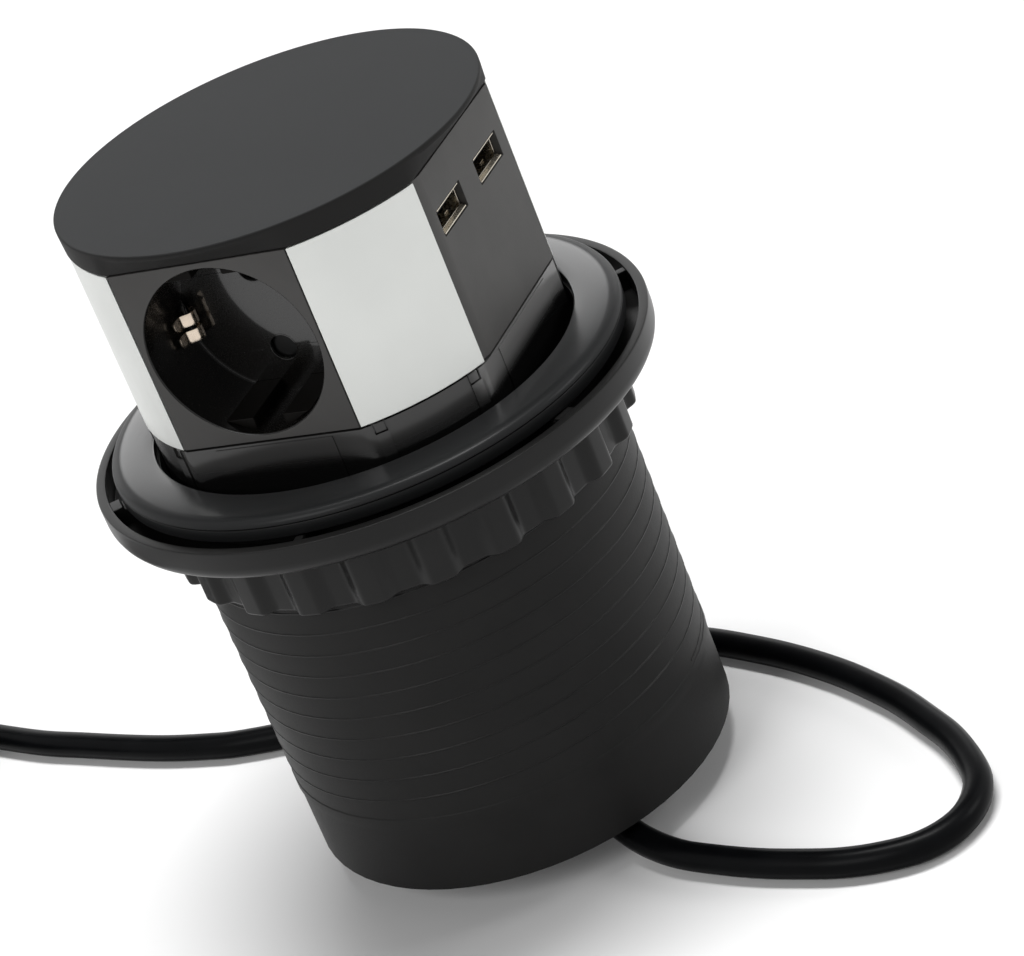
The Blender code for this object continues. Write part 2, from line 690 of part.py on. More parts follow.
def make_strain_relief():
    """Ribbed sleeve where the cord leaves the boss, with a plug end inside it."""
    start = FOOT_BOSS_R + GAP
    profile = [(0, RELIEF_L)]
    for i in range(RELIEF_GROOVES):
        share = 1 - i / RELIEF_GROOVES
        radius = RELIEF_ROOT_R + (RELIEF_TIP_R - RELIEF_ROOT_R) * share
        high = RELIEF_L * share
        groove = high - RELIEF_LAND - RELIEF_GROOVE_IN
        profile += [(radius, high), (radius, high - RELIEF_LAND), (radius - RELIEF_GROOVE_IN, groove),
                    (radius - RELIEF_GROOVE_IN, groove - RELIEF_GROOVE_L)]
    profile += [(RELIEF_ROOT_R, 0), (CORD_R, 0), (CORD_R, -RELIEF_TAIL), (0, -RELIEF_TAIL)]
    x, y = polar(start, EXIT_TURN)
    lie = Vector(polar(1, EXIT_TURN) + (0,)).to_track_quat("Z", "Y").to_matrix().to_4x4()
    return turned("strain_relief", profile, "cord", 12, Matrix.Translation((x, y, RELIEF_Z)) @ lie)


# Clamp nut

def grip_radius(degrees):
    """Radius of the scalloped skirt: flat-topped grips with sloping sides."""
    wave = math.cos(math.radians((degrees - GRIP_TURN) * GRIPS))
    share = min(1, max(0, 0.5 + GRIP_SLOPE * wave))
    return NUT_BORE + SKIRT_T + GRIP_OUT * share


def make_clamp_nut():
    """Rim, open channel crossed by ribs, hub and scalloped skirt, all one moulding."""
    top = FLANGE_Z + RIM_OVER
    hub_top = FLANGE_Z - GAP
    under = top - RIM_H
    hub = NUT_BORE + HUB_T
    inner = NUT_R - RIM_T
    web = under + WEB_T
    profile = [(0, hub_top), (hub, hub_top), (hub, web), (inner, web), (inner, top), (NUT_R, top),
               (NUT_R, under + RIM_TAPER), (NUT_R - RIM_ROUND / 2, under + RIM_ROUND / 2),
               (NUT_R - RIM_ROUND, under), (0, under)]
    nut = turned("clamp_nut", profile, "gloss")
    count = GRIPS * GRIP_STEPS
    turns = [360 * i / count + GRIP_TURN for i in range(count)]
    high = under + SKIRT_SINK
    low = high - SKIRT_L

    def ring(less, height):
        return [(*polar(grip_radius(t) - less, t), height) for t in turns]

    skirt = lofted("grip_skirt", [ring(GRIP_EDGE, low), ring(0, low + GRIP_EDGE), ring(0, high)])
    join(nut, skirt)
    for number in range(RIBS):
        half = (THICK_RIB if number % 2 else THIN_RIB) / 2
        rib = box("nut_rib", (hub - MM, -half, web - MM), (inner + MM, half, top - RIB_LOW))
        join(nut, turn_z(rib, RIB_TURN + 360 / RIBS * number))
    return cut(nut, rod("nut_bore", NUT_BORE, (0, 0, low - MM), (0, 0, hub_top + MM), steps=STEPS))


# Cord and plug

CORD_ROUTE = [(47.9, -33.3), (63.5, -38.2), (79.0, -41.0), (92.5, -41.2), (103.8, -37.8), (111.3, -29.6),
              (113.6, -19.2), (109.9, -9.0), (102.2, 0.2), (91.0, 10.0), (78.7, 19.6),
              (62.5, 31.0), (46.7, 40.6), (29.0, 49.0), (9.0, 54.0), (-13.0, 53.6), (-34.0, 46.2),
              (-53.0, 34.0), (-70.0, 25.2), (-88.0, 21.4), (-106.4, 21.4), (-125.1, 24.0), (-145.2, 27.9),
              (-166.0, 32.6), (-183.0, 37.8)]


def smooth(points, spacing):
    """Evenly spaced points along a curve through the given ones."""
    points = [Vector(p) for p in points]
    ends = [points[0] * 2 - points[1]] + points + [points[-1] * 2 - points[-2]]
    fine = []
    for a, b, c, d in zip(ends, ends[1:], ends[2:], ends[3:]):
        for k in range(12):
            t = k / 12
            fine.append(0.5 * (2 * b + (c - a) * t + (2 * a - 5 * b + 4 * c - d) * t * t
                               + (3 * b - a - 3 * c + d) * t ** 3))
    fine.append(points[-1])
    length = sum((q - p).length for p, q in zip(fine, fine[1:]))
    count = max(2, round(length / spacing))
    step = length / count
    out = [fine[0]]
    gone = 0.0
    for p, q in zip(fine, fine[1:]):
        piece = (q - p).length
        while len(out) < count and gone + piece >= step * len(out):
            out.append(p.lerp(q, (step * len(out) - gone) / piece))
        gone += piece
    return out + [fine[-1]]


def cable(name, points, look="cord"):
    """A round cable through the points."""
    curve = bpy.data.curves.new(name, "CURVE")
    curve.dimensions = "3D"
    curve.bevel_depth = CORD_R
    curve.bevel_resolution = 2
    curve.use_fill_caps = True
    line = curve.splines.new("POLY")
    line.points.add(len(points) - 1)
    for point, place in zip(line.points, points):
        point.co = (*place, 1)
    return as_mesh(name, curve, look)


def make_cord():
    """From the strain relief's tip, round its loop and behind the barrel to the coil."""
    tip = FOOT_BOSS_R + RELIEF_L + 2 * GAP
    start = (*polar(tip, EXIT_TURN), RELIEF_Z)
    near = (*polar(tip + 5 * MM, EXIT_TURN), RELIEF_Z - 0.5 * MM)
    floor = CORD_R + CORD_OFF_FLOOR
    route = [(x * MM, y * MM, floor) for x, y in CORD_ROUTE]
    beside = COIL_AT.y + coil_side() + GAP
    before = (COIL_AT.x + 14 * MM, beside, COIL_Z + CORD_R)
    end = (COIL_AT.x, beside, COIL_Z + CORD_R)
    return cable("cord", smooth([start, near] + route + [before, end], CORD_STEP))


def coil_side():
    """Distance from the coil's middle to the middle of a cord that touches its outside."""
    return COIL_MID_R + 4 * CORD_R + GAP


def make_coil():
    """Outer shape of the wound length: three turns wide, two high."""
    half = 3 * CORD_R
    tall = 4 * CORD_R
    profile = []
    for x, z, start in ((half, tall, 90), (half, 0, 0), (-half, 0, -90), (-half, tall, -180)):
        cx = COIL_MID_R + x - math.copysign(CORD_R, x)
        cz = COIL_Z + z + (CORD_R if z == 0 else -CORD_R)
        profile += [(cx + px, cz + pz) for px, pz in arc(CORD_R, start, start - 90, 2)]
    return turned("cord_coil", profile, "cord", 32, Matrix.Translation(COIL_AT))


def make_tie():
    """Strap round the coil's section."""
    half = 3 * CORD_R + 2 * GAP
    low, high = COIL_Z - GAP, COIL_Z + 4 * CORD_R + GAP
    tie = box("cord_tie", (COIL_MID_R - half - TIE_T, -TIE_W / 2, low - TIE_T),
              (COIL_MID_R + half + TIE_T, TIE_W / 2, high + TIE_T), "felt")
    hole = box("tie_hole", (COIL_MID_R - half, -TIE_W, low), (COIL_MID_R + half, TIE_W, high))
    cut(tie, hole)
    for made in (tie, hole):
        turn_z(made, TIE_TURN)
        made.matrix_world = Matrix.Translation(COIL_AT) @ made.matrix_world
    return tie


def plug_place(along):
    """A place on the plug's axis, measured back from its face."""
    return Vector((COIL_AT.x - coil_side() - GAP, PLUG_FACE_Y + along, PLUG_R + PLUG_OFF_FLOOR))


def make_plug():
    """Round moulded plug with a tapered sleeve, two pins and an earth strap on its sides."""
    length = PLUG_L + PLUG_SLEEVE
    lie = Matrix.Translation(plug_place(0)) @ Matrix.Rotation(-math.pi / 2, 4, "X")
    shoulder = []
    for turn in (90, 67.5, 45, 22.5, 0):
        out, along = polar(1, turn)
        shoulder.append((PLUG_SLEEVE_R + (PLUG_R - PLUG_SLEEVE_R) * out,
                         PLUG_STRAIGHT + (PLUG_L - PLUG_STRAIGHT) * along))
    profile = [(0, length), (CORD_R + GAP, length), (PLUG_SLEEVE_R - PLUG_STEP, PLUG_L + PLUG_STEP)]
    profile += shoulder + [(PLUG_R, PLUG_EDGE), (PLUG_R - PLUG_EDGE, 0), (0, 0)]
    body = turned("plug_body", profile, "black", 24, lie)
    tall = EARTH_W / 2
    deep = PLUG_R - PLUG_EARTH_IN
    key = PLUG_KEY_W / 2

    def block(name, low, high, look=None):
        made = box(name, low, high, look)
        made.matrix_world = lie
        return made

    for number, side in enumerate((-1, 1), 1):
        inner, outer = sorted((side * deep, side * (PLUG_R + MM)))
        cut(body, block("earth_rebate", (inner, -tall - GAP, -MM), (outer, tall + GAP, PLUG_EARTH_L)))
        inner, outer = sorted((side * (PLUG_R - PLUG_KEY_IN), side * (PLUG_R + MM)))
        cut(body, block("key_groove", (-key, inner, -MM), (key, outer, PLUG_EARTH_L)))
        inner, outer = sorted((side * (deep + GAP), side * (PLUG_R - GAP)))
        block(f"plug_earth_{number}", (inner, -tall, MM / 2), (outer, tall, PLUG_EARTH_L - GAP), "metal")
        pin = [(0, -GAP), (PLUG_PIN_R, -GAP), (PLUG_PIN_R, PLUG_PIN_TIP - PLUG_PIN_L),
               (PLUG_PIN_R - PLUG_PIN_TIP, -PLUG_PIN_L), (0, -PLUG_PIN_L)]
        place = lie @ Matrix.Translation((0, side * PIN_PITCH / 2, 0))
        turned(f"plug_pin_{number}", pin, "metal", 12, place)
    end = plug_place(length + 2 * GAP)
    low = COIL_Z + CORD_R
    points = [end, end + Vector((0, 12 * MM, 0)), (end.x, end.y + 32 * MM, low + 5 * MM),
              (end.x, COIL_AT.y - 2 * MM, low)]
    return cable("cord_tail", smooth(points, TAIL_STEP))


make_lid()
make_core()
for side in range(3):
    make_socket(side)
    make_earth_spring(side)
for number in range(6):
    make_contact(number)
make_usb()
for number in range(1, 5):
    make_side_panel(number)
    make_brake_pad(number)
make_neck()
make_tower_base()
make_barrel()
make_trim_ring()
make_foot()
make_strain_relief()
make_clamp_nut()
make_cord()
make_coil()
make_tie()
make_plug()
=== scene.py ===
import math

import bmesh
import bpy
from mathutils import Matrix, Vector


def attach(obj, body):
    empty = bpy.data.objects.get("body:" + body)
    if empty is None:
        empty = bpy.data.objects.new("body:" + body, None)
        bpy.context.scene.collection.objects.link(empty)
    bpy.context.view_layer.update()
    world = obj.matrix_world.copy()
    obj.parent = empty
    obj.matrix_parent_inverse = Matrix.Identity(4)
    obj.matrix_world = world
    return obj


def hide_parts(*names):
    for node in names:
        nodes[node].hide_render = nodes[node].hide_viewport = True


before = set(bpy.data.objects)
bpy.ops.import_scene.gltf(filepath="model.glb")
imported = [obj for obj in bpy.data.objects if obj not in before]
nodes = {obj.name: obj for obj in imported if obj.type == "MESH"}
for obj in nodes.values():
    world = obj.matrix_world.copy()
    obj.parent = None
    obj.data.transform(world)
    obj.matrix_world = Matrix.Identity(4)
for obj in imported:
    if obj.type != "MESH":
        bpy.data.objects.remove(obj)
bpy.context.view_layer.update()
mm = 0.001
exitTurn = -37.0  # the way that the cord leaves the foot


# a new object in the scene, around its data
def linkNew(name, data):
    made = bpy.data.objects.new(name, data)
    bpy.context.scene.collection.objects.link(made)
    return made


print("camera")
# place and turn worked out from the photograph's ellipses and edges, its roll included
camera = {
    "place": (0.380149, -0.58876, 0.427413),
    "right": (0.880549, 0.334019, -0.33625),
    "up": (0.106719, 0.551505, 0.827317),
    "back": (0.461783, -0.764377, 0.449982),
    "lens": 125.98,
    "sensor": 36.0,
    "near": 0.05,
    "far": 30.0,
}


def makeCamera():
    data = bpy.data.cameras.new("camera")
    data.lens = camera["lens"]
    data.sensor_width = camera["sensor"]
    data.clip_start = camera["near"]
    data.clip_end = camera["far"]
    made = linkNew("camera", data)
    turn = Matrix((camera["right"], camera["up"], camera["back"])).transposed()
    made.matrix_world = Matrix.Translation(camera["place"]) @ turn.to_4x4()
    bpy.context.scene.camera = made


makeCamera()


# shader sums: a socket with the usual operators, and one method for any other node
class Sock:
    def __init__(self, tree, out=None):
        self.tree = tree
        self.out = out

    def put(self, target, value):
        if isinstance(value, Sock):
            self.tree.links.new(value.out, target)
        else:
            target.default_value = value

    def node(self, kind, settings=None, inputs=None, out=0):
        made = self.tree.nodes.new("ShaderNode" + kind)
        for key, value in (settings or {}).items():
            setattr(made, key, value)
        for key, value in (inputs or {}).items():
            self.put(made.inputs[key], value)
        return Sock(self.tree, made.outputs[out])

    def sum(self, kind, first, second=0.0):
        return self.node("Math", {"operation": kind}, {0: first, 1: second})

    def __add__(self, other):
        return self.sum("ADD", self, other)

    __radd__ = __add__

    def __sub__(self, other):
        return self.sum("SUBTRACT", self, other)

    def __rsub__(self, other):
        return self.sum("SUBTRACT", other, self)

    def __mul__(self, other):
        return self.sum("MULTIPLY", self, other)

    __rmul__ = __mul__

    def __lt__(self, other):
        return self.sum("LESS_THAN", self, other)

    # soft step from 0 to 1 between two values
    def step(self, low, high):
        ends = {0: self, 1: low, 2: high, 3: 0.0, 4: 1.0}
        return self.node("MapRange", {"interpolation_type": "SMOOTHSTEP"}, ends)

    def noise(self, scale, detail=3.0, rough=0.5, stretch=None):
        place = self
        if stretch:
            place = self.node("Mapping", None, {"Vector": self, "Scale": stretch})
        inputs = {"Vector": place, "Scale": scale, "Detail": detail, "Roughness": rough}
        return self.node("TexNoise", None, inputs)


def mixColors(amount, first, second):
    return amount.node("Mix", {"data_type": "RGBA"}, {0: amount, 6: first, 7: second}, 2)


def gray(value, warm=0.0):
    return (value * (1 + warm), value, value * (1 - warm), 1)


# a Principled material; paint works out what varies, from the place on the object
def material(name, paint, metallic=0.0, coatRoughness=0.1, specular=0.5, sheen=0.0):
    made = bpy.data.materials.new(name)
    made.use_nodes = True
    tree = made.node_tree
    shader = tree.nodes["Principled BSDF"]
    shader.inputs["Metallic"].default_value = metallic
    shader.inputs["Coat Roughness"].default_value = coatRoughness
    shader.inputs["Specular IOR Level"].default_value = specular
    shader.inputs["Sheen Weight"].default_value = sheen
    start = Sock(tree)
    place = start.node("TexCoord", None, None, 3)
    for key, value in paint(place).items():
        if key == "Bump":
            height, strength, distance = value
            inputs = {"Height": height, "Strength": strength, "Distance": distance}
            value = height.node("Bump", None, inputs)
            key = "Normal"
        start.put(shader.inputs[key], value)
    return made


def axes(place):
    return [place.node("SeparateXYZ", None, {0: place}, i) for i in range(3)]


# a color, darker or lighter by a share
def shade(color, share):
    return tuple(c * share for c in color[:3]) + (1,)


# distance from an axis, the tower's or a cup's
def radiusOf(x, y):
    return (x * x + y * y).sum("SQRT", x * x + y * y)


# moulded plastic: spark-eroded grain and faint cloudiness
def moulded(color, roughness, grain, depth=0.35):
    def paint(place):
        fine = place.noise(grain, 2, 0.6)
        wide = place.noise(55, 4, 0.55)
        return {
            "Base Color": mixColors(wide.step(0.3, 0.7), shade(color, 0.88), shade(color, 1.12)),
            "Roughness": roughness + (wide - 0.5) * 0.12 + (fine - 0.5) * 0.1,
            "Bump": (fine, depth, 0.00006),
        }
    return paint


print("materials")
finishes = {
    # painted light and shade: the lid's top is painted lighter and its side darker, lit and shaded tones of
    # one plastic
    "lidTopLit": gray(0.022, -0.03),
    "lidSideShaded": gray(0.016, 0.02),
    "face": gray(0.060, 0.03),
    # painted shade: near-black for the inside of the socket cups and their shelves
    "cup": gray(0.0045, 0.12),
    "silver": (0.77, 0.785, 0.76, 1),
    "trim": gray(0.014, -0.03),
    "neck": gray(0.006),
    "nut": gray(0.007, 0.02),
    "barrel": gray(0.0105, 0.02),
    # painted shade: the thread rib takes the barrel's tone at 0.7, darker to draw the thread's lines
    "thread": gray(0.00735, 0.02),
    "foot": gray(0.006),
    "cord": (0.0018, 0.0020, 0.0024, 1),
}

# heights and radii between which one look passes into the next
lidPaint = {
    "top": (168.7 * mm, 168.95 * mm),
    "rimShadeReach": (46.7 * mm, 47.2 * mm),
    "rimShadeHigh": (168.3 * mm, 168.7 * mm),
}


# lid: top painted lighter than the side as painted light, its outer top edge darkened as painted shade, with
# a faint random cloud
def paintLid(place):
    x, y, z = axes(place)
    fine = place.noise(3000, 2, 0.6)
    wide = place.noise(40, 4, 0.55)
    # painted shade: the rounded outer edge of the top is darkened into a dark line
    rim = radiusOf(x, y).step(*lidPaint["rimShadeReach"]) * z.step(*lidPaint["rimShadeHigh"])
    pale, dark = shade(finishes["lidTopLit"], 1.06), shade(finishes["lidTopLit"], 0.94)
    flat = mixColors(wide.step(0.35, 0.65), dark, pale)
    body = mixColors(z.step(*lidPaint["top"]), finishes["lidSideShaded"], flat)
    return {
        "Base Color": mixColors(rim * 0.6, body, shade(finishes["lidSideShaded"], 0.7)),
        "Roughness": 0.62 + (fine - 0.5) * 0.12 + (wide - 0.5) * 0.08,
        "Bump": (fine, 0.3, 0.00005),
    }


# the cup's mouth and floor, as the paint meets them
cupPaint = {"reach": 19.85 * mm, "behind": 41.77 * mm, "middle": 142.3 * mm, "floor": 24.9 * mm}


# a face plate in satin grey with a glossy cup, its inside painted near-black as painted shade; side says
# which way the face looks
def paintSocket(side):
    def paint(place):
        x, y, z = axes(place)
        across = x if side in (0, 2) else y
        out = (y * -1.0, x * -1.0, y)[side]
        away = radiusOf(across, z - cupPaint["middle"])
        inCup = (away < cupPaint["reach"]) * (out < cupPaint["behind"])
        fine = place.noise(2800, 2, 0.6)
        wide = place.noise(60, 4, 0.55)
        soft = wide.step(0.3, 0.7)
        face = mixColors(soft, shade(finishes["face"], 0.93), shade(finishes["face"], 1.07))
        # painted shade colour for the cup's inside
        cup = mixColors(soft, shade(finishes["cup"], 0.85), shade(finishes["cup"], 1.15))
        floor = inCup * (out < cupPaint["floor"])
        return {
            "Base Color": mixColors(inCup, face, cup),
            "Roughness": 0.42 + (fine - 0.5) * 0.12 - inCup * (0.16 - (wide - 0.5) * 0.06),
            "Coat Weight": floor + inCup * 0.06,
            "Bump": (fine * (1 - inCup * 0.9), 0.3, 0.00005),
        }
    return paint


# satin film over the curved panels: very fine upright brushing
def paintSilver(place):
    brush = place.noise(900, 3, 0.6, (1.0, 1.0, 0.06))
    speck = place.noise(2400, 2, 0.5)
    wide = place.noise(30, 3, 0.5)
    dark, pale = shade(finishes["silver"], 0.96), shade(finishes["silver"], 1.03)
    return {
        "Base Color": mixColors(wide.step(0.3, 0.7), dark, pale),
        "Roughness": 0.36 + (brush - 0.5) * 0.14 + (speck - 0.5) * 0.05,
        "Bump": (brush * 0.7 + speck * 0.3, 0.25, 0.00003),
    }


# polished moulding with hair scratches and a soft cloud
def polished(color, roughness, wear=0.5):
    def paint(place):
        wide = place.noise(45, 4, 0.6)
        hair = place.noise(700, 5, 0.75, (1.0, 0.12, 1.0))
        return {
            "Base Color": mixColors(wide.step(0.3, 0.7), shade(color, 0.85), shade(color, 1.18)),
            "Roughness": roughness + hair.step(0.58, 0.72) * 0.12 * wear + (wide - 0.5) * 0.1,
            "Bump": (hair, 0.06, 0.00003),
        }
    return paint


trimPaint = {
    "creaseAt": 110.35 * mm,
    "crease": (0.12 * mm, 0.3 * mm),
    "creaseReach": (57.6 * mm, 57.8 * mm),
    "creaseColor": gray(0.001),
    "glossReach": (55.3 * mm, 56.2 * mm),
    "gloss": 0.95,
    "glossLost": 0.87,
}


# trim ring: polished, duller at its edge, with painted shade darkening the fine crease between its top and
# its wall
def paintTrim(place):
    x, y, z = axes(place)
    made = polished(finishes["trim"], 0.42)(place)
    reach = radiusOf(x, y)
    away = z - trimPaint["creaseAt"]
    away = away.sum("ABSOLUTE", away)
    # painted shade: the crease is darkened nearly to black
    crease = (1 - away.step(*trimPaint["crease"])) * reach.step(*trimPaint["creaseReach"])
    made["Base Color"] = mixColors(crease * 0.9, finishes["trim"], trimPaint["creaseColor"])
    made["Coat Weight"] = trimPaint["gloss"] - reach.step(*trimPaint["glossReach"]) * trimPaint["glossLost"]
    return made


# painted sheen: pale tones for the neck's upper part, in place of its reflections
neckPaint = {
    "high": (113.2 * mm, 117.2 * mm),
    "usbSide": (39.0 * mm, 41.0 * mm),
    "pale": gray(0.028, 0.02),
    "usbSidePaintedSheen": gray(0.16, 0.01),
}


# neck: paler towards its top, most of all under the usb face, as painted sheen standing in for bright
# reflections, and dark where it enters the ring
def paintNeck(place):
    x, y, z = axes(place)
    made = polished(finishes["neck"], 0.16)(place)
    flat = mixColors(x.step(*neckPaint["usbSide"]), neckPaint["pale"], neckPaint["usbSidePaintedSheen"])
    made["Base Color"] = mixColors(z.step(*neckPaint["high"]), finishes["neck"], flat)
    return made


def paintMetal(base, roughness):
    def paint(place):
        fine = place.noise(1500, 3, 0.6)
        wide = place.noise(150, 4, 0.6)
        return {
            "Base Color": mixColors(wide.step(0.35, 0.7), shade(base, 0.8), (*base, 1)),
            "Roughness": roughness + (fine - 0.5) * 0.15 + (wide - 0.5) * 0.1,
            "Bump": (fine, 0.04, 0.00002),
        }
    return paint


def paintFelt(place):
    fiber = place.noise(1800, 5, 0.8)
    wide = place.noise(200, 4, 0.6)
    return {
        "Base Color": mixColors(fiber.step(0.3, 0.7), gray(0.012), gray(0.035)),
        "Roughness": 0.9 + (wide - 0.5) * 0.1,
        "Bump": (fiber, 0.8, 0.0003),
    }


# extruded sheath: matt skin with faint ripples along it
def paintSheath(place):
    fine = place.noise(1600, 3, 0.6)
    wide = place.noise(90, 4, 0.6)
    dark, pale = shade(finishes["cord"], 0.8), shade(finishes["cord"], 1.2)
    return {
        "Base Color": mixColors(wide.step(0.3, 0.7), dark, pale),
        "Roughness": 0.32 + (fine - 0.5) * 0.14 + (wide - 0.5) * 0.14,
        "Bump": (fine * 0.4 + wide * 0.6, 0.15, 0.0001),
    }


looks = {
    "lid": material("lidPlastic", paintLid, specular=0.1),
    "usbPlate": material("facePlastic", moulded(finishes["face"], 0.42, 2800), specular=0.2),
    "silver": material("silverFilm", paintSilver, metallic=0.35),
    "trim": material("trimPlastic", paintTrim, specular=0.08, coatRoughness=0.2),
    "neck": material("neckPlastic", paintNeck, specular=0.5),
    "nut": material("nutPlastic", polished(finishes["nut"], 0.34, 0.25), specular=0.2),
    "barrel": material("barrelPlastic", moulded(finishes["barrel"], 0.48, 2000, 0.3), specular=0.12),
    "thread": material("threadPlastic", moulded(finishes["thread"], 0.42, 2000, 0.2), specular=0.15),
    "foot": material("footPlastic", moulded(finishes["foot"], 0.6, 1800, 0.4), specular=0.1),
    "core": material("corePlastic", moulded(gray(0.010), 0.5, 1800, 0.4), specular=0.2),
    "nickel": material("nickelPlate", paintMetal((0.72, 0.61, 0.50), 0.24), metallic=1.0),
    "steel": material("shellSteel", paintMetal((0.62, 0.57, 0.48), 0.26), metallic=1.0),
    "brass": material("contactBrass", paintMetal((0.76, 0.58, 0.28), 0.28), metallic=1.0),
    "tongue": material("tonguePlastic", moulded(gray(0.006), 0.38, 2500, 0.2), specular=0.25),
    "board": material("boardResin", moulded((0.02, 0.10, 0.05, 1), 0.45, 800, 0.4)),
    "felt": material("feltPile", paintFelt, sheen=0.3, specular=0.1),
    "sheath": material("cordSheath", paintSheath, specular=0.05),
    "plug": material("plugRubber", moulded(gray(0.010), 0.5, 1500, 0.5), specular=0.2),
    "screw": material("screwZinc", paintMetal((0.62, 0.63, 0.66), 0.3), metallic=1.0),
}
for side in range(3):
    number = str(side + 1)
    looks["socket" + number] = material("socketPlastic" + number, paintSocket(side), coatRoughness=0.06,
                                        specular=0.22)
# the key shelves take the cup's painted shade
looks["cupShelf"] = material("cupShelfPlastic", moulded(finishes["cup"], 0.45, 2800, 0.2), specular=0.05)

wears = {
    "lid": "lid", "usb_plate": "usbPlate", "trim_ring": "trim", "neck": "neck", "clamp_nut": "nut",
    "barrel": "barrel", "foot": "foot", "tower_base": "core", "core": "core", "usb_board": "board",
    "cord_tie": "felt", "plug_body": "plug", "strain_relief": "plug", "side_panel": "silver",
    "earth_spring": "nickel", "contact": "brass", "usb_shell": "steel", "usb_tongue": "tongue",
    "brake_pad": "felt", "plug_pin": "nickel", "plug_earth": "nickel",
}
for name, node in nodes.items():
    stem = name.rstrip("0123456789").rstrip("_")
    look = "socket" + name[-1] if stem == "socket" else wears.get(stem)
    if look:
        for slot in node.material_slots:
            slot.material = looks[look]


def deselectAll():
    if bpy.context.mode != "OBJECT":
        bpy.ops.object.mode_set(mode="OBJECT")
    bpy.ops.object.select_all(action="DESELECT")


def selectOnly(made):
    deselectAll()
    made.select_set(True)
    bpy.context.view_layer.objects.active = made


# puts the place and size of what is selected into its mesh
def applyPlace():
    bpy.ops.object.transform_apply(location=True, rotation=True, scale=True)
    return bpy.context.object


# makes an object a finished piece: its place goes into its mesh, and it rides on a body
def finishPiece(made, name, body, look, angle=35, hides=()):
    selectOnly(made)
    made.name = name
    made.data.name = name
    applyPlace()
    bpy.ops.object.mode_set(mode="EDIT")
    bpy.ops.mesh.select_all(action="SELECT")
    bpy.ops.mesh.remove_doubles(threshold=1e-7)
    bpy.ops.mesh.normals_make_consistent(inside=False)
    bpy.ops.object.mode_set(mode="OBJECT")
    bpy.ops.object.shade_smooth_by_angle(angle=math.radians(angle))
    addModifier(made, "WEIGHTED_NORMAL", keep_sharp=True)
    made.data.materials.clear()
    made.data.materials.append(looks[look])
    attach(made, body)
    if hides:
        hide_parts(*hides)
    made.select_set(False)
    return made


# selects, in edit mode, the corners, edges or faces whose middle passes a rule
def pick(made, kind, rule):
    if bpy.context.mode == "OBJECT":
        made.select_set(True)
        bpy.context.view_layer.objects.active = made
        bpy.ops.object.mode_set(mode="EDIT")
    bpy.ops.mesh.select_mode(type=kind)
    bpy.ops.mesh.select_all(action="DESELECT")
    mesh = bmesh.from_edit_mesh(made.data)
    for item in {"VERT": mesh.verts, "EDGE": mesh.edges, "FACE": mesh.faces}[kind]:
        corners = [item] if kind == "VERT" else item.verts
        if rule(sum((c.co for c in corners), Vector()) / len(corners)):
            item.select = True
    mesh.select_flush_mode()
    bmesh.update_edit_mesh(made.data)


# puts the selected corners where a rule says
def moveCorners(made, rule):
    mesh = bmesh.from_edit_mesh(made.data)
    for corner in mesh.verts:
        if corner.select:
            corner.co = rule(corner.co)
    bmesh.update_edit_mesh(made.data)


# extrudes the selected corners, edges or region and moves what is new, in millimetres
def push(kind, x, y, z):
    step = {"value": (x * mm, y * mm, z * mm)}
    if kind == "corners":
        bpy.ops.mesh.extrude_vertices_move(TRANSFORM_OT_translate=step)
    elif kind == "edges":
        bpy.ops.mesh.extrude_edges_move(TRANSFORM_OT_translate=step)
    else:
        bpy.ops.mesh.extrude_region_move(TRANSFORM_OT_translate=step)


def addModifier(made, kind, **settings):
    selectOnly(made)
    step = made.modifiers.new("shape", kind)
    for key, value in settings.items():
        setattr(step, key, value)
    bpy.ops.object.modifier_apply(modifier=step.name)


def roundEdges(made, width, segments=2, angle=30):
    addModifier(made, "BEVEL", width=width, segments=segments, limit_method="ANGLE",
                angle_limit=math.radians(angle), use_clamp_overlap=False, miter_outer="MITER_ARC")


def carve(made, *cutters):
    for cutter in cutters:
        addModifier(made, "BOOLEAN", operation="DIFFERENCE", solver="EXACT", object=cutter)
        bpy.data.objects.remove(cutter)


# joins pieces into the first of them
def joinPieces(pieces):
    deselectAll()
    for piece in pieces:
        piece.select_set(True)
    bpy.context.view_layer.objects.active = pieces[0]
    bpy.ops.object.join()
    return pieces[0]


# a CAD node's own shape with merged corners, clean flats and rounded edges
def refine(node, name, body, look, width, segments, angle=35):
    made = linkNew(name, nodes[node].data.copy())
    selectOnly(made)
    bpy.ops.mesh.customdata_custom_splitnormals_clear()
    bpy.ops.object.mode_set(mode="EDIT")
    bpy.ops.mesh.select_all(action="SELECT")
    bpy.ops.mesh.remove_doubles(threshold=2e-6)
    bpy.ops.mesh.dissolve_limited(angle_limit=math.radians(0.4))
    bpy.ops.object.mode_set(mode="OBJECT")
    if width:
        roundEdges(made, width, segments)
    return finishPiece(made, name, body, look, angle, [node])


# a box added at its size and place, in millimetres
def block(low, high):
    deselectAll()
    size = [(b - a) * mm for a, b in zip(low, high)]
    middle = [(b + a) / 2 * mm for a, b in zip(low, high)]
    bpy.ops.mesh.primitive_cube_add(size=1, location=middle, scale=size)
    return applyPlace()


def drum(radius, low, high, steps):
    deselectAll()
    bpy.ops.mesh.primitive_cylinder_add(vertices=steps, radius=radius * mm, depth=(high - low) * mm,
                                        location=(0, 0, (high + low) / 2 * mm))
    return applyPlace()


def moveBy(made, matrix):
    made.data.transform(matrix)
    return made


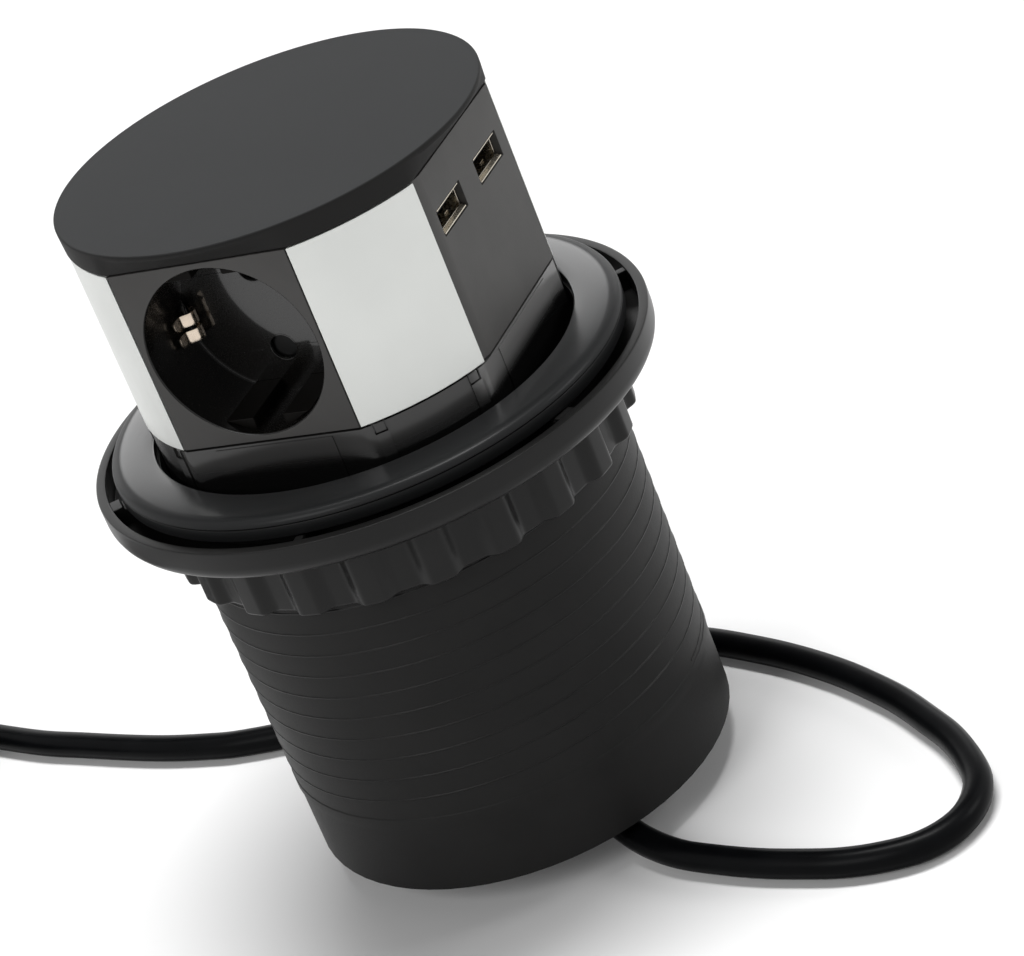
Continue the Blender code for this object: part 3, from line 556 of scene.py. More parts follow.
# a line drawn corner by corner over the X axis, from across and height in millimetres
def drawLine(points, beside=0.0):
    deselectAll()
    x, z = points[0]
    bpy.ops.mesh.primitive_plane_add(size=mm, location=(x * mm, beside * mm, z * mm))
    made = applyPlace()
    bpy.ops.object.mode_set(mode="EDIT")
    bpy.ops.mesh.select_mode(type="VERT")
    bpy.ops.mesh.select_all(action="SELECT")
    bpy.ops.mesh.merge(type="CENTER")
    for (x0, z0), (x1, z1) in zip(points, points[1:]):
        push("corners", x1 - x0, 0, z1 - z0)
    return made


# a section spun round the upright axis
def spun(points, steps):
    made = drawLine(points)
    if points[0][0] > 0:
        ends = [Vector((r * mm, 0, z * mm)) for r, z in (points[0], points[-1])]
        pick(made, "VERT", lambda co: min((co - end).length for end in ends) < 1e-6)
        bpy.ops.mesh.edge_face_add()
    bpy.ops.mesh.select_all(action="SELECT")
    bpy.ops.mesh.spin(steps=steps, angle=math.radians(360), center=(0, 0, 0), axis=(0, 0, 1))
    bpy.ops.mesh.select_all(action="SELECT")
    bpy.ops.mesh.remove_doubles(threshold=1e-6)
    bpy.ops.mesh.normals_make_consistent(inside=False)
    bpy.ops.object.mode_set(mode="OBJECT")
    return made


# a turn round the tower's axis
def turned(degrees):
    return Matrix.Rotation(math.radians(degrees), 4, "Z")


def polar(radius, degrees):
    angle = math.radians(degrees)
    return radius * math.cos(angle), radius * math.sin(angle)


print("cord")
cord = {
    "radius": 3.3 * mm,
    "floor": 3.5 * mm,
    "exitOut": 30.1 * mm,
    "exitRun": 5 * mm,
    "exitUp": 4.9 * mm,
    "coilAt": (-0.209, -0.005),
    "coilRadius": 35.0 * mm,
    "coilFloor": 4.9 * mm,
    "gap": 0.6 * mm,
    "crossFrom": 90,
    "crossTo": 130,
    "tail": [(-0.012, 4.9 * mm), (-0.030, 10.5 * mm), (-0.047, 18.0 * mm)],
    "plugEnd": -61.9 * mm,
    "plugUp": 18.6 * mm,
    "spacing": 2.2 * mm,
    "tailSpacing": 3.5 * mm,
}

# the stretch on the floor, chosen from the photograph
cordRoute = [(0.0380, -0.0287), (0.0484, -0.0345), (0.0590, -0.0376), (0.0692, -0.0397), (0.0788, -0.0408),
             (0.0880, -0.0413), (0.0966, -0.0403), (0.1048, -0.0376), (0.1106, -0.0322), (0.1131, -0.0250),
             (0.1124, -0.0170), (0.1085, -0.0090), (0.1022, -0.0003), (0.0949, 0.0071), (0.0861, 0.0153),
             (0.0770, 0.0222), (0.0681, 0.0282), (0.0563, 0.0348), (0.0447, 0.0401), (0.0290, 0.0460),
             (0.0100, 0.0505), (-0.0120, 0.0505), (-0.0330, 0.0440), (-0.0520, 0.0330), (-0.0690, 0.0243),
             (-0.0870, 0.0206), (-0.0981, 0.0204), (-0.1102, 0.0212), (-0.1231, 0.0231), (-0.1363, 0.0255),
             (-0.1499, 0.0280), (-0.1660, 0.0325), (-0.1830, 0.0378)]


# evenly spaced points on one smooth curve through the given ones
def smooth(points, spacing):
    points = [Vector(p) for p in points]
    ends = [points[0] * 2 - points[1]] + points + [points[-1] * 2 - points[-2]]
    fine = []
    for a, b, c, d in zip(ends, ends[1:], ends[2:], ends[3:]):
        for k in range(16):
            t = k / 16
            fine.append(0.5 * (2 * b + (c - a) * t + (2 * a - 5 * b + 4 * c - d) * t * t
                               + (3 * b - a - 3 * c + d) * t ** 3))
    fine.append(points[-1])
    length = sum((q - p).length for p, q in zip(fine, fine[1:]))
    count = max(2, round(length / spacing))
    step = length / count
    out = [fine[0]]
    gone = 0.0
    for p, q in zip(fine, fine[1:]):
        piece = (q - p).length
        while len(out) < count and gone + piece >= step * len(out):
            out.append(p.lerp(q, (step * len(out) - gone) / piece))
        gone += piece
    return out + [fine[-1]]


# three turns wide and two high; each change of turn happens in the same short stretch
def coilPoints():
    wide = 2 * cord["radius"]
    start, end = cord["crossFrom"], cord["crossTo"]
    middle = cord["coilRadius"]
    low = cord["coilFloor"]
    lanes = [(middle + wide, low), (middle, low), (middle - wide, low),
             (middle - wide, low + wide), (middle, low + wide), (middle + wide, low + wide)]
    crossSteps, laneSteps, leaveSteps = 5, 26, 6
    at = Vector((*cord["coilAt"], 0))
    points = []

    def add(radius, height, degrees):
        points.append(at + Vector((*polar(radius, degrees), height)))

    previous = (middle + 2 * wide + cord["gap"], low)
    for turn, lane in enumerate(lanes):
        first = 360 * turn
        for k in range(1 if turn == 0 else 0, crossSteps):
            t = k / crossSteps
            ease = t * t * (3 - 2 * t)
            reach, height = (a + (b - a) * ease for a, b in zip(previous, lane))
            add(reach, height, first + start + (end - start) * t)
        for k in range(laneSteps):
            add(*lane, first + end + (360 - end + start) * k / laneSteps)
        previous = lane
    # over the edge and down to the floor
    last = 360 * len(lanes)
    leave = last + end - 14
    add(middle + wide, low + wide, last + start)
    add(middle + wide, low + wide, leave)
    for k in range(1, leaveSteps + 1):
        swing = math.radians(90 * k / leaveSteps)
        out = middle + wide + (wide + cord["gap"]) * math.sin(swing)
        add(out, low + (wide + 0.1 * mm) * math.cos(swing), leave + 64 * k / leaveSteps)
    return points


def makeCord():
    x, y = polar(1, exitTurn)
    out, up = cord["exitOut"], cord["exitUp"]
    far = out + cord["exitRun"]
    cx, cy = cord["coilAt"]
    beside = cord["coilRadius"] + 4 * cord["radius"] + cord["gap"]
    route = [(x * out, y * out, up), (x * far, y * far, up - 0.5 * mm)]
    route += [(px, py, cord["floor"]) for px, py in cordRoute]
    route += [(cx + 14 * mm, cy + beside, cord["coilFloor"]), (cx, cy + beside, cord["coilFloor"])]
    coil = coilPoints()
    tail = [tuple(coil[-1])] + [(cx - beside, cy + back, high) for back, high in cord["tail"]]
    tail += [(cx - beside, cord["plugEnd"], cord["plugUp"])]
    points = smooth(route, cord["spacing"]) + coil + smooth(tail, cord["tailSpacing"])[1:]
    curve = bpy.data.curves.new("powerCord", "CURVE")
    curve.dimensions = "3D"
    curve.bevel_depth = cord["radius"]
    curve.bevel_resolution = 4
    curve.use_fill_caps = True
    line = curve.splines.new("POLY")
    line.points.add(len(points) - 1)
    for point, at in zip(line.points, points):
        point.co = (*at, 1)
    line.use_smooth = True
    curve.materials.append(looks["sheath"])
    made = linkNew("powerCord", curve)
    length = sum((q - p).length for p, q in zip(points, points[1:]))
    print("cord length", round(length, 3), "points", len(points))
    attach(made, "base")
    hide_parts("cord", "cord_coil", "cord_tail")


print("thread")
thread = {
    "coreRadius": 49.3 * mm,
    "proud": 0.12 * mm,
    "sunk": 0.1 * mm,
    "half": 0.35 * mm,
    "pitch": 5.5 * mm,
    "low": 29.6 * mm,
    "turns": 14,
    "steps": 96,
}


# one low rib wound round the barrel
def makeThread():
    deselectAll()
    bpy.ops.mesh.primitive_circle_add(vertices=4, radius=1, fill_type="NOTHING")
    made = bpy.context.object
    half = thread["half"]
    inner, outer = thread["coreRadius"] - thread["sunk"], thread["coreRadius"] + thread["proud"]
    corners = [(inner, half), (outer, half * 0.2), (outer - 0.02 * mm, -half * 0.4), (inner, -half)]
    for vertex, (r, z) in zip(made.data.vertices, corners):
        vertex.co = (r, 0, thread["low"] + z)
    addModifier(made, "SCREW", steps=thread["steps"], render_steps=thread["steps"],
                screw_offset=thread["pitch"], iterations=thread["turns"])
    bpy.ops.object.mode_set(mode="EDIT")
    bpy.ops.mesh.select_all(action="SELECT")
    bpy.ops.mesh.fill_holes(sides=4)
    finishPiece(made, "barrelThread", "base", "thread", 40)


makeThread()

print("tower head")
lid = {"arc": 47.1, "flat": 41.8, "radius": 47.3, "low": 163.6, "high": 169.0, "band": 1.1, "edge": 0.35,
       "steps": 192}


# a corner put out to a reach from the upright axis, at its own height
def reachTo(co, reach):
    return Vector((co.x, co.y, 0)).normalized() * reach + Vector((0, 0, co.z))


# a full circle above, and below it the tower's outline: round, cut by four flats
def makeLid():
    made = drum(lid["radius"], lid["low"], lid["high"] - lid["band"], lid["steps"])

    def toOutline(co):
        beside = abs((math.degrees(math.atan2(co.y, co.x)) + 45) % 90 - 45)
        return reachTo(co, min(lid["arc"], lid["flat"] / math.cos(math.radians(beside))) * mm)

    pick(made, "VERT", lambda co: co.z < (lid["low"] + 0.5) * mm)
    moveCorners(made, toOutline)
    pick(made, "FACE", lambda co: co.z > (lid["high"] - lid["band"] - 0.01) * mm)
    push("region", 0, 0, lid["band"])
    roundEdges(made, lid["edge"] * mm, 3, 25)
    finishPiece(made, "lidCap", "tower", "lid", 30, ["lid"])


makeLid()
for number in range(1, 5):
    refine(f"side_panel_{number}", f"silverPanel{number}", "tower", "silver", 0.18 * mm, 3)

neck = {"top": 120.8, "drop": 0.25}


# the neck keeps sharp edges, and its top drops a little to open the joint line under the faces
def makeNeck():
    made = refine("neck", "neckSleeve", "tower", "neck", 0, 0)
    pick(made, "VERT", lambda co: co.z > neck["top"] * mm)
    bpy.ops.transform.translate(value=(0, 0, -neck["drop"] * mm))
    deselectAll()


makeNeck()
hook = {"turn": 13.7, "low": 118.65, "high": 120.9, "half": 1.2, "inner": 45.0, "outer": 46.4, "drop": 0.3}


# snap hooks of the chassis, showing in the notches over the guide ribs
def makeHooks():
    for number in range(8):
        corner, way = divmod(number, 2)
        made = block((hook["inner"], -hook["half"], hook["low"]), (hook["outer"], hook["half"], hook["high"]))
        pick(made, "EDGE", lambda co: min(co.x / mm - hook["outer"], co.z / mm - hook["high"]) > -0.01)
        bpy.ops.mesh.bevel(offset=hook["drop"] * mm, segments=1, affect="EDGES")
        roundEdges(made, 0.12 * mm, 2)
        moveBy(made, turned(45 + 90 * corner + (2 * way - 1) * hook["turn"]))
        finishPiece(made, f"snapHook{number + 1}", "tower", "neck")


makeHooks()
refine("tower_base", "towerBase", "tower", "core", 0.2 * mm, 2)
refine("core", "towerCore", "tower", "core", 0.2 * mm, 2)

print("sockets")
cup = {
    "face": 41.8, "middle": 142.3, "half": 20.97, "tall": 21.0, "plate": 2.5,
    "radius": 19.5, "lead": 0.3, "depth": 17.5, "wall": 0.9,
    "pinAt": 9.5, "pinRadius": 2.9, "slotAt": 18.0, "slotWide": 1.3, "slotTall": 7.6,
    "shelfIn": 16.6, "shelfSlot": 3.5, "shelfEnd": 10.1, "shelfDrop": 2.2, "shelfCorner": 4.6, "steps": 96,
    "collar": [(3.0, -17.55), (3.0, -17.44), (3.2, -17.44), (3.3, -17.55)],
    "seamFrom": 4.2, "seamTo": 15.2, "seamHalf": 0.12, "seamLow": -17.55, "seamHigh": -17.38,
}


# local X runs across the face, local Y up and local Z out of the face
def ontoFace(made):
    stand = Matrix.Translation((0, -cup["face"] * mm, cup["middle"] * mm))
    return moveBy(made, stand @ Matrix.Rotation(math.pi / 2, 4, "X"))


# moves a part of the socket up or down to a pin hole
def atPin(made, up):
    return moveBy(made, Matrix.Translation((0, up * cup["pinAt"] * mm, 0)))


def makeSocketShell():
    deselectAll()
    bpy.ops.mesh.primitive_circle_add(vertices=cup["steps"], radius=(cup["radius"] + cup["lead"]) * mm,
                                      fill_type="NOTHING")
    made = bpy.context.object
    bpy.ops.object.mode_set(mode="EDIT")
    bpy.ops.mesh.select_all(action="SELECT")

    def toSquare(co):
        reach = max(abs(co.x) / cup["half"], abs(co.y) / cup["tall"])
        return Vector((co.x / reach * mm, co.y / reach * mm, co.z))

    def narrow(co):
        return Vector((co.x, co.y, 0)).normalized() * cup["radius"] * mm + Vector((0, 0, co.z))

    # face, then the plate's edge
    push("edges", 0, 0, 0)
    moveCorners(made, toSquare)
    push("edges", 0, 0, -cup["plate"])
    # mouth, wall and floor of the cup
    rim = (cup["radius"] + cup["lead"]) * mm
    pick(made, "EDGE", lambda co: co.z > -1e-6 and co.xy.length < rim + 1e-6)
    push("edges", 0, 0, -cup["lead"])
    moveCorners(made, narrow)
    push("edges", 0, 0, cup["lead"] - cup["depth"])
    bpy.ops.mesh.edge_face_add()
    bpy.ops.mesh.select_all(action="SELECT")
    bpy.ops.mesh.normals_make_consistent(inside=False)
    faces = bmesh.from_edit_mesh(made.data).faces
    if next(f for f in faces if f.calc_center_median().z > -1e-6).normal.z < 0:
        bpy.ops.mesh.flip_normals()
    addModifier(made, "SOLIDIFY", thickness=cup["wall"] * mm, offset=-1, use_even_offset=True)
    cutters = []
    low, high = -cup["depth"] - 3, -cup["depth"] + 1
    wide, tall = cup["slotWide"] / 2, cup["slotTall"] / 2
    for up in (-1, 1):
        cutters.append(atPin(drum(cup["pinRadius"], low, high, 32), up))
        at = up * cup["slotAt"]
        cutters.append(block((at - wide, -tall, low), (at + wide, tall, high)))
    carve(made, *cutters)
    roundEdges(made, 0.16 * mm, 2, 40)
    return made


# two shelves at the top and two at the bottom, that key the plug
def makeShelves():
    made = []
    for across in (-1, 1):
        for up in (-1, 1):
            x = sorted((across * cup["shelfSlot"], across * cup["shelfEnd"]))
            y = sorted((up * cup["shelfIn"], up * (cup["radius"] - 0.1)))
            shelf = block((x[0], y[0], -cup["depth"] - 0.1), (x[1], y[1], -cup["shelfDrop"]))
            pick(shelf, "VERT", lambda co: abs(co.x) > 9 * mm and abs(co.y) > 18 * mm)
            moveCorners(shelf, lambda co: Vector((math.copysign(cup["shelfCorner"] * mm, co.x), co.y, co.z)))
            roundEdges(shelf, 0.3 * mm, 3)
            made.append(shelf)
    return joinPieces(made)


# raised rings round the pin holes, and the thin seams beside them
def makeFloorTrim():
    made = []
    for up in (-1, 1):
        made.append(atPin(spun(cup["collar"], 48), up))
        y = up * cup["pinAt"]
        for across in (-1, 1):
            x = sorted((across * cup["seamFrom"], across * cup["seamTo"]))
            made.append(block((x[0], y - cup["seamHalf"], cup["seamLow"]),
                              (x[1], y + cup["seamHalf"], cup["seamHigh"])))
    return joinPieces(made)


# earth strap: two split fingers bowed into the cup, joined behind its floor
clip = {
    "path": [(18.4, -10.4), (18.3, -11.8), (18.2, -12.8), (17.7, -13.4), (16.7, -13.8), (15.9, -14.2),
             (15.5, -15.0), (15.6, -15.9), (16.3, -16.7), (17.4, -17.2), (18.1, -17.9), (18.2, -19.3)],
    "across": [(17.2, -19.65), (0, -19.65)],
    "finger": 2.8, "split": 0.9, "splitEnd": -17.3, "thick": 0.6,
}


def makeClip():
    made = drawLine(clip["path"] + clip["across"], -(clip["finger"] + clip["split"] / 2))
    bpy.ops.mesh.select_all(action="SELECT")
    for width in (clip["finger"], clip["split"], clip["finger"]):
        push("edges", 0, width, 0)
    pick(made, "FACE", lambda co: abs(co.y) < 0.2 * mm and co.z > clip["splitEnd"] * mm)
    bpy.ops.mesh.delete(type="FACE")
    addModifier(made, "MIRROR", use_axis=(True, False, False), merge_threshold=1e-5)
    addModifier(made, "SUBSURF", levels=2, render_levels=2)
    addModifier(made, "SOLIDIFY", thickness=clip["thick"] * mm, offset=0, use_even_offset=True)
    roundEdges(made, 0.1 * mm, 2, 50)
    return made


shutter = {"radius": 3.05, "low": -19.6, "high": -18.9, "rim": 0.9, "rise": 0.3}


def makeShutters():
    made = []
    for up in (-1, 1):
        disc = drum(shutter["radius"], shutter["low"], shutter["high"], 32)
        pick(disc, "FACE", lambda co: co.z > (shutter["high"] - 0.1) * mm)
        bpy.ops.mesh.inset(thickness=shutter["rim"] * mm, depth=shutter["rise"] * mm)
        roundEdges(disc, 0.06 * mm, 1, 40)
        made.append(atPin(disc, up))
    return joinPieces(made)


# each part is made once on the front face, and copies of it are turned onto the two others
def makeSockets():
    parts = (("socketShell", makeSocketShell, None, "grey", "socket_"),
             ("socketShelves", makeShelves, "cupShelf", "grey", None),
             ("socketTrim", makeFloorTrim, None, "grey", None),
             ("earthStrap", makeClip, "nickel", "metal", "earth_spring_"),
             ("pinShutters", makeShutters, "tongue", "black", None))
    firsts = [ontoFace(part[1]()) for part in parts]
    for side in (2, 1, 0):
        number = str(side + 1)
        for first, (name, _, look, slot, node) in zip(firsts, parts):
            made = first
            if side:
                made = moveBy(linkNew(first.name, first.data.copy()), turned(-90 * side))
            hides = [node + number] if node else []
            finishPiece(made, name + number, "tower", look or "socket" + number, 35, hides)


makeSockets()

print("usb outlet")
usb = {
    "at": 151.4, "pitch": 10.6, "tall": 5.3, "face": 41.8,
    "strips": 4, "stripPitch": 2.3, "stripHalf": 0.5, "stripIn": 10.0, "stripOut": 3.6, "blade": 151.35,
    "tabAt": 2.9, "tabHalf": 0.8, "tabIn": 8.0, "tabOut": 3.4, "tabSunk": 0.62,
    "lipHalf": 5.9, "lipIn": 1.15, "lipOut": 0.2, "lipSunk": 0.3, "flare": 0.26, "pinch": 0.2, "thin": 0.12,
}


# contact strips on the tongue, their tips pinched
def makeStrips(middle):
    made = []
    for k in range(usb["strips"]):
        y = middle + (k - (usb["strips"] - 1) / 2) * usb["stripPitch"]
        strip = block((usb["face"] - usb["stripIn"], y - usb["stripHalf"], usb["blade"] - 0.08),
                      (usb["face"] - usb["stripOut"], y + usb["stripHalf"], usb["blade"] + 0.1))
        pick(strip, "FACE", lambda co: co.x > (usb["face"] - usb["stripOut"] - 0.05) * mm)
        bpy.ops.transform.resize(value=(1, 0.6, 0.6))
        roundEdges(strip, 0.05 * mm, 1)
        made.append(strip)
    return made


# sprung tabs of the shell, two in its top and two in its floor
def makeTabs(middle):
    made = []
    for side in (-1, 1):
        for up in (-1, 1):
            y = middle + side * usb["tabAt"]
            z = usb["at"] + up * (usb["tall"] / 2 - usb["tabSunk"])
            tab = block((usb["face"] - usb["tabIn"], y - usb["tabHalf"], z - usb["thin"]),
                        (usb["face"] - usb["tabOut"], y + usb["tabHalf"], z + usb["thin"]))
            roundEdges(tab, 0.06 * mm, 1)
            made.append(tab)
    return made


# flared lips on the shell's two long sides
def makeLips(middle):
    made = []
    for up in (-1, 1):
        z = usb["at"] + up * (usb["tall"] / 2 - usb["lipSunk"])
        lip = block((usb["face"] - usb["lipIn"], middle - usb["lipHalf"], z - usb["thin"]),
                    (usb["face"] - usb["lipOut"], middle + usb["lipHalf"], z + usb["thin"]))
        pick(lip, "FACE", lambda co: co.x > (usb["face"] - usb["lipOut"] - 0.1) * mm)
        bpy.ops.transform.translate(value=(0, 0, up * usb["flare"] * mm))
        pick(lip, "FACE", lambda co: co.x < (usb["face"] - usb["lipIn"] + 0.15) * mm)
        bpy.ops.transform.translate(value=(0, 0, up * -usb["pinch"] * mm))
        roundEdges(lip, 0.06 * mm, 2)
        made.append(lip)
    return made


def makeUsb():
    refine("usb_plate", "usbFace", "tower", "usbPlate", 0.15 * mm, 2)
    for number in (1, 2):
        refine(f"usb_shell_{number}", f"usbShell{number}", "tower", "steel", 0.06 * mm, 1)
        refine(f"usb_tongue_{number}", f"usbTongue{number}", "tower", "tongue", 0.08 * mm, 1)
    for number, middle in ((1, -usb["pitch"]), (2, usb["pitch"])):
        groups = [("usbContacts", makeStrips(middle), "brass"), ("usbTabs", makeTabs(middle), "steel"),
                  ("usbLips", makeLips(middle), "steel")]
        for name, group, look in groups:
            finishPiece(joinPieces(group), name + str(number), "tower", look)


makeUsb()

print("trim ring")
trimSection = [(47.9, 110.2), (47.9, 112.2), (48.05, 112.48), (48.4, 112.6), (50.5, 112.58),
               (53.5, 112.48), (56.2, 112.28), (57.1, 112.1), (57.75, 111.7), (58.1, 111.15),
               (58.2, 110.62), (58.05, 110.5), (57.92, 110.42), (57.92, 110.32), (58.05, 110.24),
               (58.2, 110.1), (58.2, 107.75), (57.95, 107.5), (57.1, 107.5), (57.1, 110.2)]
finishPiece(spun(trimSection, 240), "trimRing", "base", "trim", 50, ["trim_ring"])

print("clamp nut")
nut = {
    "bore": 49.65, "skirtLow": 84.6, "skirtHigh": 101.5, "blank": 52.0, "edge": 0.8,
    "grips": 22, "perGrip": 32, "valley": 50.6, "out": 2.2, "turn": -9.3,
    "hub": 52.25, "rimIn": 60.9, "web": 103.1,
    "ribs": 6, "ribTurn": -82.0, "ribTop": 106.9, "ribStep": 58.6, "ribRise": 0.75,
    "thin": 2.0, "thick": 4.6, "sink": 0.4,
}
nutSection = [(49.65, 100.9), (49.65, 107.05), (49.8, 107.2), (52.0, 107.2), (52.25, 106.95), (52.25, 103.7),
              (52.4, 103.25), (52.9, 103.1), (60.2, 103.1), (60.7, 103.25), (60.9, 103.7), (60.9, 107.75),
              (61.05, 108.02), (61.3, 108.1), (62.8, 108.1), (63.1, 107.98), (63.2, 107.7), (63.2, 104.2),
              (63.1, 103.2), (62.8, 102.35), (62.3, 101.65), (61.7, 101.2), (61.1, 101.1), (53.0, 101.1)]


def gripRadius(degrees):
    wave = math.cos(math.radians((degrees - nut["turn"]) * nut["grips"]))
    share = min(1, max(0, 0.5 + 0.72 * wave))
    return nut["valley"] + nut["out"] * share * share * (3 - 2 * share)


def makeNut():
    finishPiece(spun(nutSection, 240), "clampNutRim", "nut", "nut", 40, ["clamp_nut"])
    made = drum(nut["blank"], nut["skirtLow"], nut["skirtHigh"], nut["grips"] * nut["perGrip"])

    def scallop(co):
        return reachTo(co, gripRadius(math.degrees(math.atan2(co.y, co.x))) * mm)

    pick(made, "VERT", lambda co: True)
    moveCorners(made, scallop)
    low = nut["skirtLow"] * mm
    pick(made, "FACE", lambda co: co.z < low + 1e-5)
    bpy.ops.mesh.bevel(offset=nut["edge"] * mm, segments=4, affect="EDGES")
    carve(made, drum(nut["bore"], nut["skirtLow"] - 2, nut["skirtHigh"] + 2, 160))
    finishPiece(made, "clampNutSkirt", "nut", "nut", 35)
    # ribs across the channel, each with a higher step at the rim
    sink = nut["sink"]
    for number in range(nut["ribs"]):
        half = (nut["thick"] if number % 2 else nut["thin"]) / 2
        rib = block((nut["hub"] - sink, -half, nut["web"] - sink), (nut["ribStep"], half, nut["ribTop"]))
        pick(rib, "FACE", lambda co: co.x > (nut["ribStep"] - 0.1) * mm)
        push("region", nut["rimIn"] + sink - nut["ribStep"], 0, 0)
        pick(rib, "FACE", lambda co: co.x > nut["ribStep"] * mm and co.z > (nut["ribTop"] - 0.1) * mm)
        push("region", 0, 0, nut["ribRise"])
        roundEdges(rib, 0.25 * mm, 3)
        moveBy(rib, turned(nut["ribTurn"] + 360 / nut["ribs"] * number))
        finishPiece(rib, f"nutRib{number + 1}", "nut", "nut")


makeNut()

print("barrel and foot")
refine("barrel", "barrelTube", "base", "barrel", 0.12 * mm, 2)
refine("foot", "footCap", "base", "foot", 0.2 * mm, 2)
footScrew = {"out": 18.5, "high": 10.6, "low": 8.7, "radius": 3.0, "arm": 2.0, "armHalf": 0.35, "armTop": 9.6}


# five screws; the cord leaves where a sixth would be
def makeScrews():
    first = drum(footScrew["radius"], footScrew["low"], footScrew["high"], 40)
    arm, half, top = footScrew["arm"], footScrew["armHalf"], footScrew["armTop"]
    carve(first, block((-arm, -half, 7), (arm, half, top)), block((-half, -arm, 7), (half, arm, top)))
    roundEdges(first, 0.2 * mm, 2, 40)
    for number in range(1, 6):
        x, y = polar(footScrew["out"] * mm, exitTurn + 60 * number)
        made = moveBy(linkNew("footScrew", first.data.copy()), Matrix.Translation((x, y, 0)))
        finishPiece(made, f"footScrew{number}", "base", "screw")
    bpy.data.objects.remove(first)


makeScrews()

print("relief, plug and tie")
relief = {
    "start": 9.3, "length": 20.5, "bore": 3.3, "root": 4.4, "tip": 3.8, "up": 4.9, "rings": 6,
    "cut": 0.45, "round": 0.3,
}


def makeRelief():
    root, tip, length, rings = (relief[key] for key in ("root", "tip", "length", "rings"))
    section = [(relief["bore"], 0), (root, 0)]
    for k in range(rings):
        low = length * (k + 0.55) / (rings + 0.4)
        reach = root + (tip - root) * (k + 0.5) / rings
        deep = reach - relief["cut"]
        section += [(reach, low), (deep, low + 0.35), (deep, low + 1.0), (reach, low + 1.35)]
    section += [(tip, length - relief["round"]), (tip - relief["round"], length), (relief["bore"], length)]
    made = spun(section[::-1], 40)
    x, y = polar(relief["start"] * mm, exitTurn)
    lie = Vector((*polar(1, exitTurn), 0)).to_track_quat("Z", "Y").to_matrix().to_4x4()
    moveBy(made, Matrix.Translation((x, y, relief["up"] * mm)) @ lie)
    finishPiece(made, "reliefSleeve", "base", "plug", 40, ["strain_relief"])


makeRelief()

plug = {
    "at": (-257.8, -117.0, 18.6), "radius": 18.4, "straight": 19.0, "neck": 8.0, "length": 35.0,
    "sleeve": 20.0, "nose": [(0, 0), (17.2, 0), (17.9, 0.25), (18.4, 1.0)],
    "throat": [(7.2, 35.5), (6.3, 36.4), (5.95, 37.3)],
    "rings": 6, "ringFrom": 38.4, "ringPitch": 2.6, "ringReach": 5.8, "ringTaper": 0.34, "ringCut": 0.5,
    "earthIn": 1.5, "earthTall": 7.6, "grooveLong": 16.0, "keyWide": 5.2, "keyIn": 2.5, "outside": 20,
}


def makePlug():
    high = plug["length"] + plug["sleeve"]
    section = list(plug["nose"])
    for k in range(13):
        turn = math.radians(90 * k / 12)
        section.append((plug["neck"] + (plug["radius"] - plug["neck"]) * math.cos(turn),
                        plug["straight"] + (plug["length"] - plug["straight"]) * math.sin(turn)))
    section += plug["throat"]
    for k in range(plug["rings"]):
        low = plug["ringFrom"] + k * plug["ringPitch"]
        reach = plug["ringReach"] - plug["ringTaper"] * k
        deep = reach - plug["ringCut"]
        section += [(reach, low), (deep, low + 0.4), (deep, low + 1.2), (reach - 0.1, low + 1.6)]
    section += [(3.9, high - 0.6), (3.5, high), (0, high)]
    made = spun(section, 96)
    # grooves for the earth contacts and the keys
    cutters = []
    tall, wide, far = plug["earthTall"] / 2, plug["keyWide"] / 2, plug["outside"]
    for side in (-1, 1):
        x = sorted((side * (plug["radius"] - plug["earthIn"]), side * far))
        cutters.append(block((x[0], -tall, -1), (x[1], tall, plug["grooveLong"])))
        y = sorted((side * (plug["radius"] - plug["keyIn"]), side * far))
        cutters.append(block((-wide, y[0], -1), (wide, y[1], plug["grooveLong"])))
    carve(made, *cutters)
    roundEdges(made, 0.18 * mm, 2, 40)
    stand = Matrix.Translation(Vector(plug["at"]) * mm)
    moveBy(made, stand @ Matrix.Rotation(-math.pi / 2, 4, "X"))
    finishPiece(made, "plugShell", "base", "plug", 35, ["plug_body"])
    for number in (1, 2):
        refine(f"plug_pin_{number}", f"plugPin{number}", "base", "nickel", 0, 1, 50)
        refine(f"plug_earth_{number}", f"plugEarth{number}", "base", "nickel", 0.12 * mm, 2)


makePlug()
refine("cord_tie", "cordTie", "base", "felt", 0.3 * mm, 2)
makeCord()

print("stage")
stage = {
    "floorSize": 12.0, "paper": (0.93, 0.93, 0.93, 1), "floorGlow": 0.05, "paleFrom": 0.7, "paleTo": 1.6,
    "worldLight": 0.11, "worldSeen": 1.0, "white": (1, 1, 1, 1),
}


# rays that see the background itself: from the camera, off gloss and through glass
def seenRays(start):
    straight, glossy, clear = [start.node("LightPath", None, None, "Is " + kind + " Ray")
                               for kind in ("Camera", "Glossy", "Transmission")]
    return start.sum("MAXIMUM", straight, start.sum("MAXIMUM", glossy, clear))


# matt paper for the studio, and its shader
def makePaper(name, color):
    made = bpy.data.materials.new(name)
    made.use_nodes = True
    shader = made.node_tree.nodes["Principled BSDF"]
    shader.inputs["Base Color"].default_value = color
    shader.inputs["Roughness"].default_value = 0.9
    return made, shader


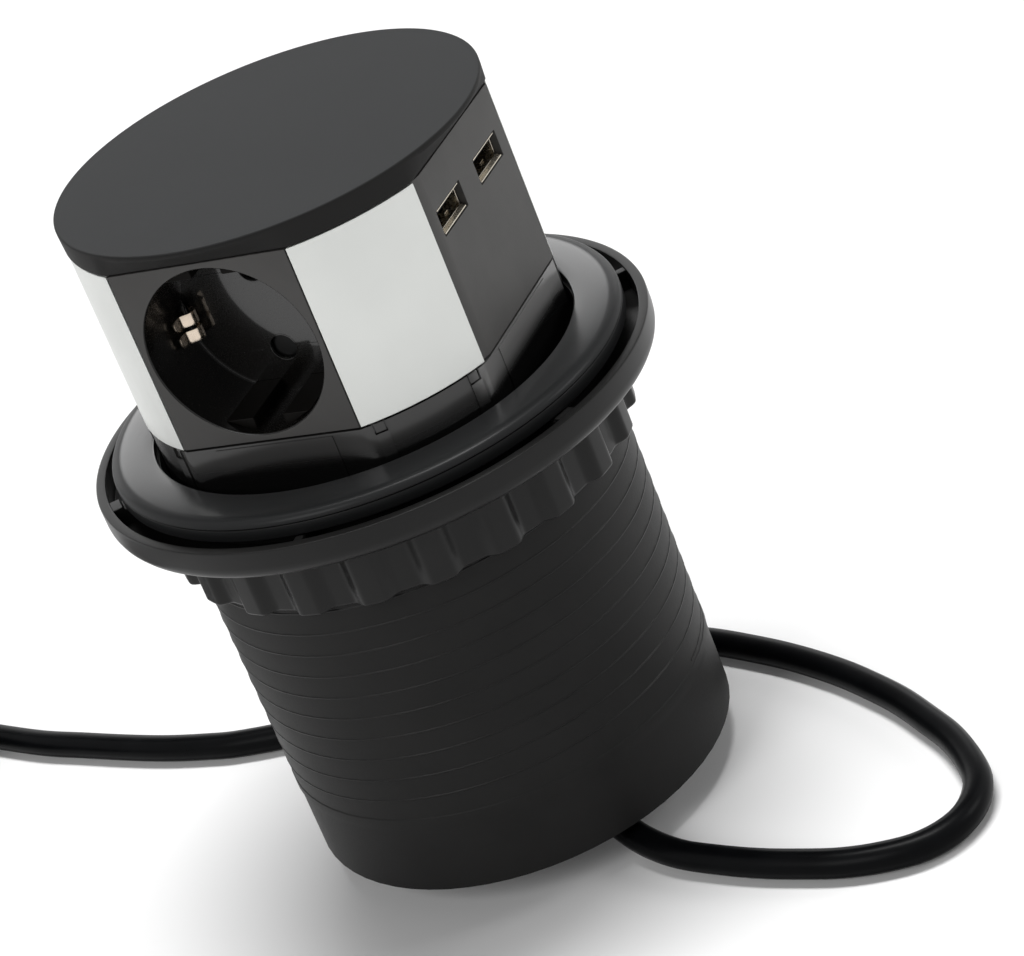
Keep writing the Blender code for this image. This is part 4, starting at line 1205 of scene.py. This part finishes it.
def makeFloor():
    deselectAll()
    bpy.ops.mesh.primitive_plane_add(size=stage["floorSize"])
    floor = bpy.context.object
    floor.name = "studioFloor"
    made, shader = makePaper("studioPaper", stage["paper"])
    shader.inputs["Specular IOR Level"].default_value = 0.1
    tree = made.node_tree
    start = Sock(tree)
    x, y, z = axes(start.node("TexCoord", None, None, 3))
    far = radiusOf(x, y).step(stage["paleFrom"], stage["paleTo"])
    seen = seenRays(start) * (stage["floorGlow"] + far * (1 - stage["floorGlow"]))
    glow = start.node("Emission", None, {"Color": stage["white"], "Strength": 1.0})
    mixed = start.node("MixShader", None, {0: seen, 1: Sock(tree, shader.outputs[0]), 2: glow})
    start.put(tree.nodes["Material Output"].inputs["Surface"], mixed)
    floor.data.materials.append(made)


def makeWorld():
    world = bpy.data.worlds.new("studio")
    bpy.context.scene.world = world
    world.use_nodes = True
    tree = world.node_tree
    start = Sock(tree)
    seen = seenRays(start)
    strength = stage["worldLight"] + seen * (stage["worldSeen"] - stage["worldLight"])
    back = tree.nodes["Background"]
    back.inputs["Color"].default_value = stage["white"]
    start.put(back.inputs["Strength"], strength)


def makeLamp(name, place, aim, size, power, tall=None):
    data = bpy.data.lights.new(name, "AREA")
    data.energy = power
    data.shape = "RECTANGLE"
    data.size = size
    data.size_y = tall or size
    made = linkNew(name, data)
    made.location = place
    made.rotation_euler = (Vector(aim) - Vector(place)).to_track_quat("-Z", "Y").to_euler()


card = {
    "away": (-0.52, 0.855), "distance": 1.25, "low": 0.69, "tall": 2.0, "wide": 2.6,
    "color": (0.01, 0.01, 0.01, 1),
}


# black card over the rear lamp, the dark part of the studio that the glossy rings show
def makeCard():
    deselectAll()
    away = Vector((*card["away"], 0)).normalized()
    middle = away * card["distance"]
    middle.z = card["low"] + card["tall"] / 2
    lean = (-away).to_track_quat("Z", "Y").to_euler()
    bpy.ops.mesh.primitive_plane_add(size=1, location=middle, rotation=lean)
    made = bpy.context.object
    made.scale = (card["wide"], card["tall"], 1)
    made.name = "studioCard"
    made.visible_camera = False
    made.visible_diffuse = False
    made.visible_shadow = False
    made.data.materials.append(makePaper("studioBlack", card["color"])[0])


makeFloor()
makeWorld()
makeCard()
makeLamp("keyBox", (-0.3, -1.25, 1.0), aim=(0, 0, 0.1), size=0.7, power=7)
makeLamp("topBox", (0.0, 0.3, 2.2), aim=(0, 0, 0), size=1.3, power=46, tall=0.5)
makeLamp("sideBox", (1.2, 0.6, 0.7), aim=(0, 0, 0.1), size=0.5, power=4)
makeLamp("backBox", (-0.624, 1.026, 0.48), aim=(0, 0, 0.3), size=1.6, power=2.5, tall=0.4)
bpy.context.scene.view_settings.view_transform = "Standard"
